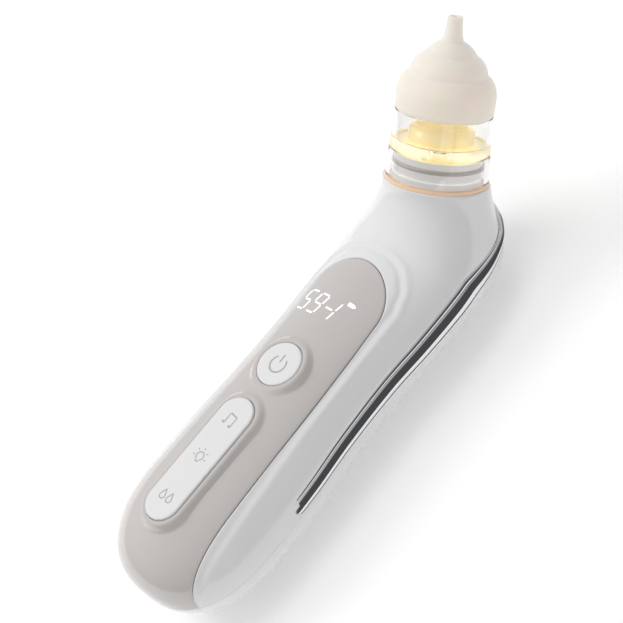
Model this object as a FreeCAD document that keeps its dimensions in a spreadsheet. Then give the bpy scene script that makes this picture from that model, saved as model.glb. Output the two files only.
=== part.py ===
import FreeCAD, Part
import math
import os
import re

import Sketcher
from FreeCAD import Placement, Rotation, Vector

# Hand-held electric nasal aspirator, lying on its back.
# The origin is on the flat back. +X runs along the handle towards the nozzle, +Z leaves the front,
# where the control panel is, and Y is across. The nozzle's own parts are drawn upright about their
# own Z axis and then set on the collar, which leans away from the handle by nozzle_angle.
doc = FreeCAD.newDocument("nasal_aspirator")
sheet = doc.addObject("Spreadsheet::Sheet", "sizes")

# ---------------------------------------------------------------- driving dimensions, millimetres
SIZES = {
    # handle, from the rounded butt to the start of the neck
    "butt_x": -63.9, "butt_length": 32.6, "butt_power": 2.4, "butt_mid_z": 19.6, "front_z": 36.95,
    "palm_x": -12.0, "waist_x": 5.0, "thumb_x": 25.0, "shoulder_x": 40.0, "neck_x": 55.0,
    "butt_half_width": 26.4, "palm_half_width": 25.9, "waist_half_width": 24.5,
    "thumb_half_width": 24.1, "shoulder_half_width": 25.0, "neck_half_width": 25.3,
    "butt_back_z": -0.7, "palm_back_z": -0.8, "waist_back_z": 0.0,
    "thumb_back_z": 0.6, "shoulder_back_z": 1.0, "neck_back_z": 1.5,
    # neck, bent about a point above the front; radii are measured from that point
    "nozzle_angle": 49.47, "bend_radius": 25.67, "nozzle_reach": 38.18,
    "low_bend_front": 25.2, "low_bend_back": 61.0, "low_bend_half_width": 24.8,
    "heel_front": 24.4, "heel_back": 67.0, "heel_half_width": 23.6,
    "high_bend_front": 23.6, "high_bend_back": 64.7, "high_bend_half_width": 21.0,
    "throat_front": 22.8, "throat_back": 57.8, "throat_half_width": 17.7,
    "collar_radius": 16.2, "collar_drop": 1.2,
    # shells and the parting line
    "wall": 2.4, "parting_z": 18.25, "gap": 0.05, "seat_gap": 0.15,
    # control panel
    "panel_thickness": 1.2, "panel_top_x": 35.0, "panel_top_radius": 15.3, "panel_flare": 0.034,
    # chrome trim
    "chrome_proud": 1.4, "chrome_end_proud": 0.4, "chrome_seat": 0.9, "chrome_end_x": -18.0,
    "chrome_end_height": 4.6, "chrome_turn": 7.0, "chrome_turn_height": 6.86,
    "chrome_heel": 29.0, "chrome_back_height": 1.7,
    # keys
    "power_proud": 0.8, "power_x": 10.0, "power_radius": 7.29, "key_gap": 0.15,
    "mode_low_x": -40.5, "mode_high_x": -9.9, "mode_radius": 6.25, "mode_proud": 1.15,
    "flange_width": 0.95, "flange_height": 0.6, "key_lift": 0.3, "key_stem_radius": 2.0,
    "rim_width": 1.7, "rim_height": 0.55, "pad_height": 0.25, "pad_ridge": 0.2,
    # circuit board and what stands on it
    "board_low_x": -44.0, "board_high_x": 42.0, "board_half_width": 12.6, "board_low_z": 28.6,
    "board_height": 1.6, "switch_side": 6.0, "switch_height": 1.6, "switch_floor": 0.3,
    "plunger_radius": 1.75, "plunger_height": 0.65, "plunger_stem": 0.8, "running_gap": 0.05,
    "display_x": 31.8, "display_length": 9.6, "display_half_width": 11.4, "display_height": 1.4,
    "display_frame": 0.6, "speaker_x": 56.0, "speaker_radius": 7.5, "speaker_height": 3.2,
    "speaker_low_z": 29.6, "speaker_ring": 1.0,
    # battery
    "battery_x": -46.0, "battery_length": 64.2, "battery_radius": 9.2, "battery_z": 14.2,
    "battery_cap_radius": 3.0, "battery_cap_height": 0.8, "tab_thickness": 0.25, "tab_half_width": 3.0,
    "cradle_half_width": 11.0, "cradle_drop": 2.0,
    # charging inlet
    "inlet_z": 12.6, "inlet_half_width": 4.5, "inlet_half_height": 1.6, "inlet_length": 7.3,
    "inlet_face": 1.6, "inlet_wall": 0.3, "inlet_socket": 6.2, "tongue_half_height": 0.35,
    "inlet_board_half_width": 8.0, "inlet_board_length": 9.6, "inlet_board_height": 1.2,
    # pump
    "pump_z": 17.3, "motor_x": 21.0, "motor_length": 25.0, "motor_radius": 10.2, "sleeve": 0.7,
    "sleeve_start": 3.0, "sleeve_length": 18.0, "bracket_half_width": 14.0, "bracket_drop": 3.0,
    "shaft_radius": 1.0, "shaft_overhang": 5.4, "shaft_tail": 2.0, "pump_radius": 11.6,
    "pump_wall": 1.4, "frame_length": 12.0, "frame_hole": 3.0, "valve_height": 2.5,
    "cover_height": 5.0, "barb_radius": 1.9, "barb_bore": 1.0, "barb_length": 4.5,
    "eccentric_radius": 4.6, "eccentric_length": 3.6, "eccentric_start": 1.8, "crank_throw": 1.5,
    "crank_pin_radius": 0.9, "crank_pin_length": 1.6, "yoke_radius": 8.6, "yoke_height": 1.4,
    "yoke_start": 5.8, "crank_clearance": 0.35, "cup_circle": 5.6, "bellows_radius": 2.9,
    "diaphragm_height": 1.2, "flap_radius": 1.7, "flap_height": 0.3, "port_circle": 6.0,
    "hose_wall": 1.0, "hose_start": 0.5, "hose_bend": 6.0, "hose_end_z": 28.0, "hose_gap": 0.05,
    "muffler_x": 72.6, "muffler_length": 9.5, "muffler_half_width": 7.0, "muffler_top_z": 13.2,
    "vent_count": 4, "vent_x": 73.5, "vent_pitch": 2.6, "vent_width": 1.3, "vent_half_length": 6.0,
    # nozzle, heights measured from the collar's face
    "spigot_radius": 13.2, "spigot_height": 8.6, "spigot_wall": 1.9, "spigot_neck": 12.8,
    "neck_drop": 1.2, "spigot_web_low": 2.8, "spigot_web": 1.2, "groove_depth": 0.9,
    "low_groove": 2.6, "low_groove_height": 0.8, "ring_height": 6.0, "ring_section": 0.7,
    "port_radius": 3.2, "port_bore": 1.5, "elbow_drop": 7.0, "spout_length": 6.5,
    "gasket_height": 0.7, "light_board_radius": 11.1, "light_board_height": 0.8, "led_circle": 9.0,
    "led_side": 1.6, "led_height": 0.8, "light_ring_inner": 6.8, "light_ring_height": 2.0,
    "seal_height": 1.0, "seal_radius": 15.6,
    "cup_radius": 15.5, "cup_floor_radius": 15.06, "cup_lip_radius": 14.5, "cup_wall": 1.5,
    "cup_floor": 9.4, "cup_floor_height": 3.0, "cup_lip": 21.05, "cup_top": 26.0,
    "chimney_radius": 3.6, "chimney_bore": 2.2, "chimney_top": 17.0,
    "dome_radius": 9.7, "dome_wall_height": 3.9, "dome_rise": 3.2, "dome_bow": 17.0,
    "dome_wall": 1.0, "dome_crown": 1.0, "notch_half_width": 1.5, "notch_height": 1.8,
    "tip_wall": 1.3, "tip_shoulder": 26.5, "tip_radius": 14.6, "low_bulge": 7.0,
    "low_crease": 32.3, "low_crease_radius": 11.4, "middle_bulge": 6.4,
    "high_crease": 37.7, "high_crease_radius": 7.6, "high_bulge": 8.0,
    "tube_base": 41.5, "tube_base_radius": 3.2, "tube_flare": 30.0,
    "tube_top": 48.6, "tube_top_radius": 2.24, "tube_bore": 1.25, "tube_throat_radius": 1.9,
    # fasteners
    "boss_radius": 2.8, "screw_radius": 1.1, "screw_head_radius": 2.1, "screw_head_height": 1.4,
    "butt_boss_x": -51.0, "butt_boss_y": 13.5, "waist_boss_x": 16.5, "waist_boss_y": 15.8,
    "heel_boss_x": 76.0, "heel_boss_y": 15.5, "screw_head_z": 10.0, "screw_length": 12.6,
    "boss_root": 0.6, "board_boss_radius": 2.1, "board_screw_radius": 0.9, "board_screw_length": 4.1,
    "board_head_radius": 1.7, "board_head_height": 0.9,
    "board_boss_y": 10.0, "board_boss_low_x": -41.0, "board_boss_high_x": 22.0,
}
for row, (alias, number) in enumerate(SIZES.items(), start=1):
    sheet.set("A%d" % row, alias)
    sheet.set("B%d" % row, str(number))
    sheet.setAlias("B%d" % row, alias)
doc.recompute()

# ---------------------------------------------------------------- places that follow from them
NOZZLE_X = "neck_x + nozzle_reach * sin(nozzle_angle) - collar_drop * cos(nozzle_angle)"
NOZZLE_Z = "front_z + bend_radius - nozzle_reach * cos(nozzle_angle) - collar_drop * sin(nozzle_angle)"
BOARD_TOP = "board_low_z + board_height"
PAD_LOW = "board_low_z + board_height + switch_height + plunger_height + gap"
FLANGE_LOW = PAD_LOW + " + pad_height + pad_ridge + gap"
POCKET_TOP = FLANGE_LOW + " + flange_height + key_lift"
POWER_TOP = "front_z + power_proud"
MODE_TOP = "front_z + mode_proud"
MODE_MIDDLE = "(mode_low_x + mode_high_x) / 2"
CHROME_LOW = "parting_z + 2 * gap"
PUMP_X = "motor_x + motor_length + gap"
DIAPHRAGM_X = PUMP_X + " + frame_length + gap"
VALVE_X = DIAPHRAGM_X + " + diaphragm_height + gap"
COVER_X = VALVE_X + " + valve_height + gap"
COVER_END = COVER_X + " + cover_height"
LED_BOARD_LOW = "spigot_web_low + spigot_web + gap"
LIGHT_LOW = LED_BOARD_LOW + " + light_board_height + led_height + 2 * gap"
ELBOW_X = NOZZLE_X + " - elbow_drop * cos(nozzle_angle)"
ELBOW_Z = NOZZLE_Z + " - elbow_drop * sin(nozzle_angle)"


# ---------------------------------------------------------------- helpers
def linked(text):
    """The expression with every size name pointed at the spreadsheet."""
    def point(match):
        word = match.group()
        return "sizes." + word if word in SIZES else word
    return re.sub(r"[a-z_]+", point, str(text))


def amount(text):
    """The number that an expression of sizes has now."""
    return float(sheet.evalExpression(linked(text)))


def bind(thing, **links):
    for prop, text in links.items():
        thing.setExpression(prop, linked(text))
    return thing


TURNS = {
    "Z": Rotation(),
    "X": Rotation(Vector(0, 1, 0), 90),
    "Y": Rotation(Vector(1, 0, 0), -90),
    "-Z": Rotation(Vector(1, 0, 0), 180),
}


def put(thing, at, along="Z"):
    """Set a part on a point whose three coordinates follow the sheet."""
    thing.Placement = Placement(Vector(), TURNS[along])
    for letter, text in zip("xyz", at):
        thing.setExpression("Placement.Base." + letter, linked(text))
    return thing


def on_nozzle(thing):
    """Set a part, drawn upright about Z, on the collar's face."""
    thing.Placement = Placement(Vector(), Rotation(Vector(0, 1, 0), 40))
    thing.setExpression("Placement.Rotation.Angle", linked("(90 - nozzle_angle) * 1 deg"))
    thing.setExpression("Placement.Base.x", linked(NOZZLE_X))
    thing.setExpression("Placement.Base.z", linked(NOZZLE_Z))
    return thing


def rod(name, radius, length, at=("0", "0", "0"), along="Z"):
    solid = doc.addObject("Part::Cylinder", name)
    return put(bind(solid, Radius=radius, Height=length), at, along)


def taper(name, low_radius, high_radius, length, at=("0", "0", "0"), along="Z"):
    solid = doc.addObject("Part::Cone", name)
    return put(bind(solid, Radius1=low_radius, Radius2=high_radius, Height=length), at, along)


def ball(name, radius, at):
    return put(bind(doc.addObject("Part::Sphere", name), Radius=radius), at)


def block(name, low, high):
    """A box between two corners, each given as three expressions."""
    solid = doc.addObject("Part::Box", name)
    spans = ["(%s) - (%s)" % pair for pair in zip(high, low)]
    return put(bind(solid, Length=spans[0], Width=spans[1], Height=spans[2]), low)


def wedge(name, length, near, far, at, turn):
    """A bar whose ends are rectangles: near and far are (low across, high across, low, high)."""
    solid = doc.addObject("Part::Wedge", name)
    ends = dict(zip(("Xmin", "Xmax", "Zmin", "Zmax"), near))
    ends.update(zip(("X2min", "X2max", "Z2min", "Z2max"), far))
    solid.Ymin = 0
    bind(solid, Ymax=length, **ends)
    put(solid, at)
    solid.Placement = Placement(solid.Placement.Base, Rotation(Vector(0, 0, 1), turn))
    return solid


def fuse(name, *things):
    joined = doc.addObject("Part::MultiFuse", name)
    joined.Shapes = list(things)
    return joined


def group(name, *things):
    """Several separate solids that share one name."""
    together = doc.addObject("Part::Compound", name)
    together.Links = list(things)
    return together


def common(name, *things):
    shared = doc.addObject("Part::MultiCommon", name)
    shared.Shapes = list(things)
    return shared


def cut(name, base, *tools):
    """The base less one tool, or less several tools joined first."""
    result = doc.addObject("Part::Cut", name)
    result.Base = base
    result.Tool = tools[0] if len(tools) == 1 else fuse(name + "_tools", *tools)
    return result


def slot(name, low_x, high_x, radius, low_z, high_z):
    """A straight bar with round ends that stands up along Z."""
    height = "(%s) - (%s)" % (high_z, low_z)
    bar = block(name + "_bar", (low_x, "-(%s)" % radius, low_z), (high_x, radius, high_z))
    low_end = rod(name + "_low_end", radius, height, (low_x, "0", low_z))
    high_end = rod(name + "_high_end", radius, height, (high_x, "0", low_z))
    return fuse(name, bar, low_end, high_end)


def turned(label, points, bows=None):
    """A PartDesign body turned about its own Z axis.

    points are (radius, height) expressions. bows gives, for a point's number, the radius of the
    arc from it to the next point, which bellies outwards, or inwards when the number is negative.
    """
    bows = bows or {}
    body = doc.addObject("PartDesign::Body", label)
    sketch = body.newObject("Sketcher::SketchObject", label + "_profile")
    plane = [item for item in body.Origin.OriginFeatures if item.Role == "XZ_Plane"][0]
    sketch.AttachmentSupport = (plane, [""])
    sketch.MapMode = "FlatFace"
    corners = [Vector(amount(across), amount(up), 0) for across, up in points]
    count = len(corners)
    ends = []
    for index, start in enumerate(corners):
        end = corners[(index + 1) % count]
        if index in bows:
            radius = amount(bows[index][0])
            chord = end - start
            side = Vector(chord.y, -chord.x, 0).normalize() * bows[index][1]
            rise = radius - math.sqrt(radius ** 2 - (chord.Length / 2) ** 2)
            middle = (start + end) * 0.5 + side * rise
            edge = sketch.addGeometry(Part.Arc(start, middle, end), False)
            sketch.setDatum(sketch.addConstraint(Sketcher.Constraint("Radius", edge, radius)), radius)
            sketch.setExpression("Constraints[%d]" % (sketch.ConstraintCount - 1), linked(bows[index][0]))
            forward = sketch.getPoint(edge, 1).distanceToPoint(start) < 1e-6
            ends.append((edge, 1, 2) if forward else (edge, 2, 1))
        else:
            edge = sketch.addGeometry(Part.LineSegment(start, end), False)
            ends.append((edge, 1, 2))
    for index, (edge, first, last) in enumerate(ends):
        following = ends[(index + 1) % count]
        sketch.addConstraint(Sketcher.Constraint("Coincident", edge, last, following[0], following[1]))
    for (edge, first, last), (across, up), corner in zip(ends, points, corners):
        for kind, text, number in (("DistanceX", across, corner.x), ("DistanceY", up, corner.y)):
            which = sketch.addConstraint(Sketcher.Constraint(kind, -1, 1, edge, first, number))
            sketch.setExpression("Constraints[%d]" % which, linked(text))
    turn = body.newObject("PartDesign::Revolution", label + "_turn")
    turn.Profile = sketch
    turn.ReferenceAxis = (sketch, ["V_Axis"])
    turn.Angle = 360
    body.Tip = turn
    return body


def oval(centre, turn, half_width, half_height):
    """A closed smooth section whose width runs along Y."""
    curve = Part.BSplineCurve()
    steps = 24
    angles = [2 * math.pi * step / steps for step in range(steps)]
    points = [Vector(half_width * math.cos(angle), half_height * math.sin(angle), 0) for angle in angles]
    knots = [step / steps for step in range(steps + 1)]
    curve.interpolate(Points=points, PeriodicFlag=True, Parameters=knots)
    wire = Part.Wire([curve.toShape()])
    wire.Placement = Placement(centre, turn)
    return wire


def skin(name, inset, rear_inset=None):
    """The handle, neck and collar as one smooth solid, drawn in by inset all round.

    rear_inset is the inset at the handle's rear when it differs: the skin then swells evenly
    from there to the neck.
    """
    front_inset = amount(inset)
    tail_inset = front_inset if rear_inset is None else amount(rear_inset)
    across = Rotation(Vector(1, 1, 1), 120)
    butt_x, butt_length, power = amount("butt_x"), amount("butt_length"), amount("butt_power")
    butt_end, middle_z = butt_x + tail_inset, amount("butt_mid_z")
    front_z, neck_x = amount("front_z"), amount("neck_x")
    sections = [Part.Vertex(Vector(butt_end, 0, middle_z))]

    def handle_section(x, half_width, back_z, shrink):
        share = max(0.0, (x - butt_x - butt_length) / (neck_x - butt_x - butt_length))
        inset_here = tail_inset + (front_inset - tail_inset) * share
        high = middle_z + (front_z - inset_here - middle_z) * shrink
        low = middle_z + (back_z + inset_here - middle_z) * shrink
        wide = (half_width - inset_here) * shrink
        sections.append(oval(Vector(x, 0, (high + low) / 2), across, wide, (high - low) / 2))

    butt_steps = 7
    for step in range(1, butt_steps + 1):
        along = 1 - math.cos(math.pi / 2 * step / butt_steps)
        shrink = (1 - (1 - along) ** power) ** (1 / power)
        x = butt_end + along * (butt_x + butt_length - butt_end)
        handle_section(x, amount("butt_half_width"), amount("butt_back_z"), shrink)
    for place in ("palm", "waist", "thumb", "shoulder", "neck"):
        numbers = [amount(place + ending) for ending in ("_x", "_half_width", "_back_z")]
        handle_section(*numbers, 1)

    angle = amount("nozzle_angle")
    pivot = Vector(neck_x, 0, front_z + amount("bend_radius"))
    bends = ("low_bend", "heel", "high_bend", "throat")
    for step, place in enumerate(bends, start=1):
        lean = angle * step / (len(bends) + 1)
        tilt = Rotation(Vector(0, 1, 0), -lean)
        near = amount(place + "_front") + front_inset
        far = amount(place + "_back") - front_inset
        down = tilt.multVec(Vector(0, 0, -1))
        wide = amount(place + "_half_width") - front_inset
        sections.append(oval(pivot + down * (near + far) / 2, tilt * across, wide, (far - near) / 2))
    tilt = Rotation(Vector(0, 1, 0), -angle)
    down = tilt.multVec(Vector(0, 0, -1))
    back = tilt.multVec(Vector(-1, 0, 0)) * (amount("collar_drop") + front_inset)
    radius = amount("collar_radius") - front_inset
    sections.append(oval(pivot + down * amount("nozzle_reach") + back, tilt * across, radius, radius))
    solid = doc.addObject("Part::Feature", name)
    solid.Shape = Part.makeLoft(sections, True)
    return solid


def within(name, *things):
    """The things kept only where they lie inside the housing, clear of its wall."""
    return common(name, skin(name + "_room", "wall + seat_gap"), *things)


kept = {}


def keep(label, thing):
    """Hand a finished piece over under the name it is known by."""
    thing.Label = label
    kept[label] = thing


# ---------------------------------------------------------------- housing shells
outer_skin = skin("outer_skin", "0")
cavity = skin("cavity", "wall")
boss_room = skin("boss_room", "wall - boss_root")
FAR_LOW = ("butt_x - 20", "-60", "-20")
FAR_HIGH = ("neck_x + nozzle_reach + collar_radius + 30", "60", "front_z + 60")
above_parting = block("above_parting", (FAR_LOW[0], FAR_LOW[1], "parting_z + gap"), FAR_HIGH)
below_parting = block("below_parting", (FAR_LOW[0], FAR_LOW[1], "0"), (FAR_HIGH[0], FAR_HIGH[1], "parting_z"))
everything_outside = skin("everything_outside", "-5")


def panel_outline(name, grow):
    """The panel seen from above: a round top end and two flanks that flare towards the butt."""
    length = "panel_top_x - butt_x + 20"
    radius = "panel_top_radius + (%s)" % grow
    wide = "%s + panel_flare * (%s)" % (radius, length)
    base = "parting_z + gap - (%s)" % grow
    height = "front_z + 20 - parting_z"
    top = rod(name + "_top", radius, height, ("panel_top_x", "0", base))
    near = ("-(%s)" % radius, radius, "0", height)
    far = ("-(%s)" % wide, wide, "0", height)
    flanks = wedge(name + "_flanks", length, near, far, ("panel_top_x", "0", base), 90)
    return fuse(name, top, flanks)


def trim_band(name, grow):
    """The trim seen from the side: a strip with a round end, deepest beside the neck, thin behind it."""
    low = CHROME_LOW + " - (%s)" % grow
    end_height = "chrome_end_height + 2 * (%s)" % grow
    end_at = ("chrome_end_x", "-60", CHROME_LOW + " + chrome_end_height / 2")
    end = rod(name + "_end", "(%s) / 2" % end_height, "120", end_at, "Y")
    back_x = "neck_x + nozzle_reach + collar_radius"
    stations = (("chrome_end_x", "chrome_end_height"), ("neck_x + chrome_turn", "chrome_turn_height"),
                ("neck_x + chrome_heel", "chrome_back_height"), (back_x, "chrome_back_height"))
    strips = []
    for number in range(3):
        (start_x, start_height), (stop_x, stop_height) = stations[number:number + 2]
        near = ("-60", "60", "0", start_height + " + 2 * (%s)" % grow)
        far = ("-60", "60", "0", stop_height + " + 2 * (%s)" % grow)
        length = "%s - (%s)" % (stop_x, start_x)
        strips.append(wedge("%s_strip_%d" % (name, number), length, near, far, (start_x, "0", low), -90))
    return fuse(name, end, *strips)


def over_skin(name, inset, outline):
    """Everything outside the skin drawn in by inset, within an outline."""
    return common(name, cut(name + "_space", everything_outside, skin(name + "_floor", inset)), outline)


panel_recess = over_skin("panel_recess", "panel_thickness + gap", panel_outline("recess_outline", "gap"))
trim_groove = over_skin("trim_groove", "chrome_seat + gap", trim_band("groove_band", "gap"))

# Screw bosses stand in both shells, so the same places serve the shells and the screws.
BOSSES = [("%s_boss_x" % place, "%s%s_boss_y" % (side, place)) for place in ("butt", "waist", "heel")
          for side in ("", "-")]
BOARD_BOSSES = [(x, side + "board_boss_y") for x in ("board_boss_low_x", "board_boss_high_x")
                for side in ("", "-")]
SCREW_LEDGE = "screw_head_z + screw_head_height"
front_bosses = []
rear_bosses = []
front_pilots = []
rear_holes = []
for number, (x, y) in enumerate(BOSSES):
    tall = rod("front_boss_%d" % number, "boss_radius", "front_z", (x, y, "parting_z + gap"))
    short = rod("rear_boss_%d" % number, "boss_radius", "parting_z", (x, y, "0"))
    front_bosses.append(tall)
    rear_bosses.append(short)
    pilot = rod("front_pilot_%d" % number, "screw_radius + gap", "screw_length", (x, y, SCREW_LEDGE))
    hole = rod("rear_hole_%d" % number, "screw_radius + 2 * gap", "front_z", (x, y, "-10"))
    bore = rod("rear_bore_%d" % number, "screw_head_radius + seat_gap", "10 + " + SCREW_LEDGE, (x, y, "-10"))
    front_pilots.append(pilot)
    rear_holes += [hole, bore]
for number, (x, y) in enumerate(BOARD_BOSSES):
    boss = rod("board_boss_%d" % number, "board_boss_radius", "front_z", (x, y, BOARD_TOP + " + gap"))
    front_bosses.append(boss)
    depth = "board_screw_length + gap"
    pilot = rod("board_pilot_%d" % number, "board_screw_radius + gap", depth, (x, y, "board_low_z"))
    front_pilots.append(pilot)

speaker_ring = cut(
    "speaker_ring",
    rod("speaker_ring_outside", "speaker_radius + seat_gap + speaker_ring", "front_z",
        ("speaker_x", "0", "speaker_low_z + speaker_height / 2")),
    rod("speaker_ring_inside", "speaker_radius + seat_gap", "front_z * 2", ("speaker_x", "0", "0")))

power_hole = rod("power_hole", "power_radius + key_gap", "front_z", ("power_x", "0", FLANGE_LOW))
power_pocket = rod("power_pocket", "power_radius + flange_width + 2 * key_gap",
                   "%s - (%s)" % (POCKET_TOP, BOARD_TOP), ("power_x", "0", BOARD_TOP))
mode_hole = slot("mode_hole", "mode_low_x", "mode_high_x", "mode_radius + key_gap",
                 FLANGE_LOW, "front_z + 20")
mode_pocket = slot("mode_pocket", "mode_low_x", "mode_high_x", "mode_radius + flange_width + 2 * key_gap",
                   BOARD_TOP, POCKET_TOP)
display_window = block(
    "display_window",
    ("display_x - display_length / 2 + display_frame", "-display_half_width + display_frame", BOARD_TOP),
    ("display_x + display_length / 2 - display_frame", "display_half_width - display_frame", "front_z + 20"))
spigot_hole = on_nozzle(rod("spigot_hole", "spigot_neck + gap", "30"))
spigot_hole.setExpression("Placement.Base.x", linked(NOZZLE_X + " - 10 * cos(nozzle_angle)"))
spigot_hole.setExpression("Placement.Base.z", linked(NOZZLE_Z + " - 10 * sin(nozzle_angle)"))

# Front shell: a white moulding that carries the panel, the keys, the board and the nozzle.
front_wall = cut("front_wall", common("front_half", outer_skin, above_parting), cavity)
front_inside = common("front_inside", fuse("front_posts", *front_bosses, speaker_ring), boss_room)
front_blank = fuse("front_blank", front_wall, front_inside)
keep("front_shell", cut("front_shell", front_blank, panel_recess, trim_groove, power_hole, power_pocket,
                        mode_hole, mode_pocket, display_window, spigot_hole, *front_pilots))

# Rear shell: a white tray with the screw wells, the outlet slots and the charging opening.
INLET_FACE = "butt_x + inlet_face"


def inlet_bar(name, half_width, half_height, low_x, length):
    """A bar along X with the flattened round section of the charging inlet."""
    edge = "(%s) - (%s)" % (half_width, half_height)
    middle = block(name + "_middle", (low_x, "-(%s)" % edge, "inlet_z - (%s)" % half_height),
                   ("%s + (%s)" % (low_x, length), edge, "inlet_z + (%s)" % half_height))
    left = rod(name + "_left", half_height, length, (low_x, "-(%s)" % edge, "inlet_z"), "X")
    right = rod(name + "_right", half_height, length, (low_x, edge, "inlet_z"), "X")
    return fuse(name, middle, left, right)


inlet_opening = inlet_bar("inlet_opening", "inlet_half_width + seat_gap", "inlet_half_height + seat_gap",
                          "butt_x - 10", "10 + inlet_face + inlet_length")
vents = []
for number in range(int(SIZES["vent_count"])):
    low_x = "vent_x + %d * vent_pitch" % number
    vents.append(block("vent_%d" % number, (low_x, "-vent_half_length", "-5"),
                       (low_x + " + vent_width", "vent_half_length", "muffler_top_z / 2")))
rear_wall = cut("rear_wall", common("rear_half", outer_skin, below_parting), cavity)
rear_inside = common("rear_inside", fuse("rear_posts", *rear_bosses), boss_room)
rear_blank = fuse("rear_blank", rear_wall, rear_inside)
keep("rear_shell", cut("rear_shell", rear_blank, inlet_opening, *vents, *rear_holes))

# Control panel: a thin glossy skin let into the front shell, with a raised rim round each key.
power_rim = taper("power_rim", "power_radius + key_gap + rim_width + 2 * rim_height",
                  "power_radius + key_gap + rim_width", "4 * rim_height",
                  ("power_x", "0", "front_z - 3 * rim_height"))
mode_rim = slot("mode_rim", "mode_low_x", "mode_high_x", "mode_radius + key_gap + rim_width",
                "front_z - 3 * rim_height", "front_z + rim_height")
panel_blank = fuse("panel_blank", outer_skin, power_rim, mode_rim)
panel_underside = skin("panel_underside", "panel_thickness")
panel_sheet = cut("panel_sheet", panel_blank, panel_underside, power_hole, mode_hole)
keep("control_panel", common("control_panel", panel_sheet, panel_outline("panel_edge", "0")))

# Chrome trim: a band along both sides and round the back of the neck, deeper there than at its ends.
trim_solid = common("trim_solid", skin("trim_outside", "-chrome_proud", "-chrome_end_proud"),
                    trim_band("trim_outline", "0"))
keep("chrome_trim", cut("chrome_trim", trim_solid, skin("trim_inside", "chrome_seat")))

# Screws that hold the shells together, driven from the back.
screws = []
for number, (x, y) in enumerate(BOSSES):
    head = rod("screw_head_%d" % number, "screw_head_radius", "screw_head_height", (x, y, "screw_head_z"))
    shank = rod("screw_shank_%d" % number, "screw_radius", "screw_length", (x, y, SCREW_LEDGE + " - gap"))
    screws.append(fuse("housing_screw_%d" % number, head, shank))
keep("housing_screws", group("housing_screws", *screws))

# ---------------------------------------------------------------- keys and circuit board
power_height = "%s - (%s)" % (POWER_TOP, FLANGE_LOW)
power_at = ("power_x", "0", FLANGE_LOW)
power_cap = rod("power_cap", "power_radius", power_height, power_at)
power_flange = rod("power_flange", "power_radius + flange_width", "flange_height", power_at)
stem_length = "%s - (%s)" % (FLANGE_LOW, PAD_LOW)
power_stem = rod("power_stem", "key_stem_radius", stem_length, ("power_x", "0", PAD_LOW))
keep("power_button", fuse("power_button", power_cap, power_flange, power_stem))

mode_cap = slot("mode_cap", "mode_low_x", "mode_high_x", "mode_radius", FLANGE_LOW, MODE_TOP)
mode_flange = slot("mode_flange", "mode_low_x", "mode_high_x", "mode_radius + flange_width", FLANGE_LOW,
                   FLANGE_LOW + " + flange_height")
keep("mode_key", fuse("mode_key", mode_cap, mode_flange))

# The key rocks on a ridge across the middle of a rubber pad, and the pad rests on three switches.
pad_plate = slot("pad_plate", "mode_low_x", "mode_high_x", "mode_radius", PAD_LOW, PAD_LOW + " + pad_height")
pad_ridge = block("pad_ridge_bar", (MODE_MIDDLE + " - 1", "-mode_radius / 2", PAD_LOW),
                  (MODE_MIDDLE + " + 1", "mode_radius / 2", PAD_LOW + " + pad_height + pad_ridge"))
keep("mode_key_pad", fuse("mode_key_pad", pad_plate, pad_ridge))

SWITCHES = {"low": "mode_low_x", "middle": MODE_MIDDLE, "high": "mode_high_x", "power": "power_x"}
switch_bodies = []
plungers = {}
for place, x in SWITCHES.items():
    half = "switch_side / 2"
    case = block("switch_case_" + place, ("%s - %s" % (x, half), "-" + half, BOARD_TOP),
                 ("%s + %s" % (x, half), half, BOARD_TOP + " + switch_height"))
    well = rod("switch_well_" + place, "plunger_radius + running_gap", "switch_height",
               (x, "0", BOARD_TOP + " + switch_floor"))
    switch_bodies.append(cut("switch_" + place, case, well))
    plungers[place] = rod("plunger_" + place, "plunger_radius", "plunger_height + plunger_stem",
                          (x, "0", BOARD_TOP + " + switch_height - plunger_stem"))
keep("tact_switches", group("tact_switches", *switch_bodies))
keep("power_switch_plunger", plungers["power"])
keep("mode_switch_plungers",
     group("mode_switch_plungers", plungers["low"], plungers["middle"], plungers["high"]))

board_plate = block("board_plate", ("board_low_x", "-board_half_width", "board_low_z"),
                    ("board_high_x", "board_half_width", BOARD_TOP))
board_holes = []
board_screws = []
for number, (x, y) in enumerate(BOARD_BOSSES):
    hole_at = (x, y, "board_low_z - 10")
    board_holes.append(rod("board_hole_%d" % number, "board_screw_radius + 2 * gap", "20", hole_at))
    head_low = "board_low_z - gap - board_head_height"
    head = rod("board_head_%d" % number, "board_head_radius", "board_head_height", (x, y, head_low))
    shank = rod("board_shank_%d" % number, "board_screw_radius", "board_screw_length + gap",
                (x, y, "board_low_z - 2 * gap"))
    board_screws.append(fuse("board_screw_%d" % number, head, shank))
keep("main_board", cut("main_board", board_plate, *board_holes))
keep("board_screws", group("board_screws", *board_screws))

keep("display_module", block(
    "display_module", ("display_x - display_length / 2", "-display_half_width", BOARD_TOP),
    ("display_x + display_length / 2", "display_half_width", BOARD_TOP + " + display_height")))
keep("speaker", rod("speaker", "speaker_radius", "speaker_height", ("speaker_x", "0", "speaker_low_z")))

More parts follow.
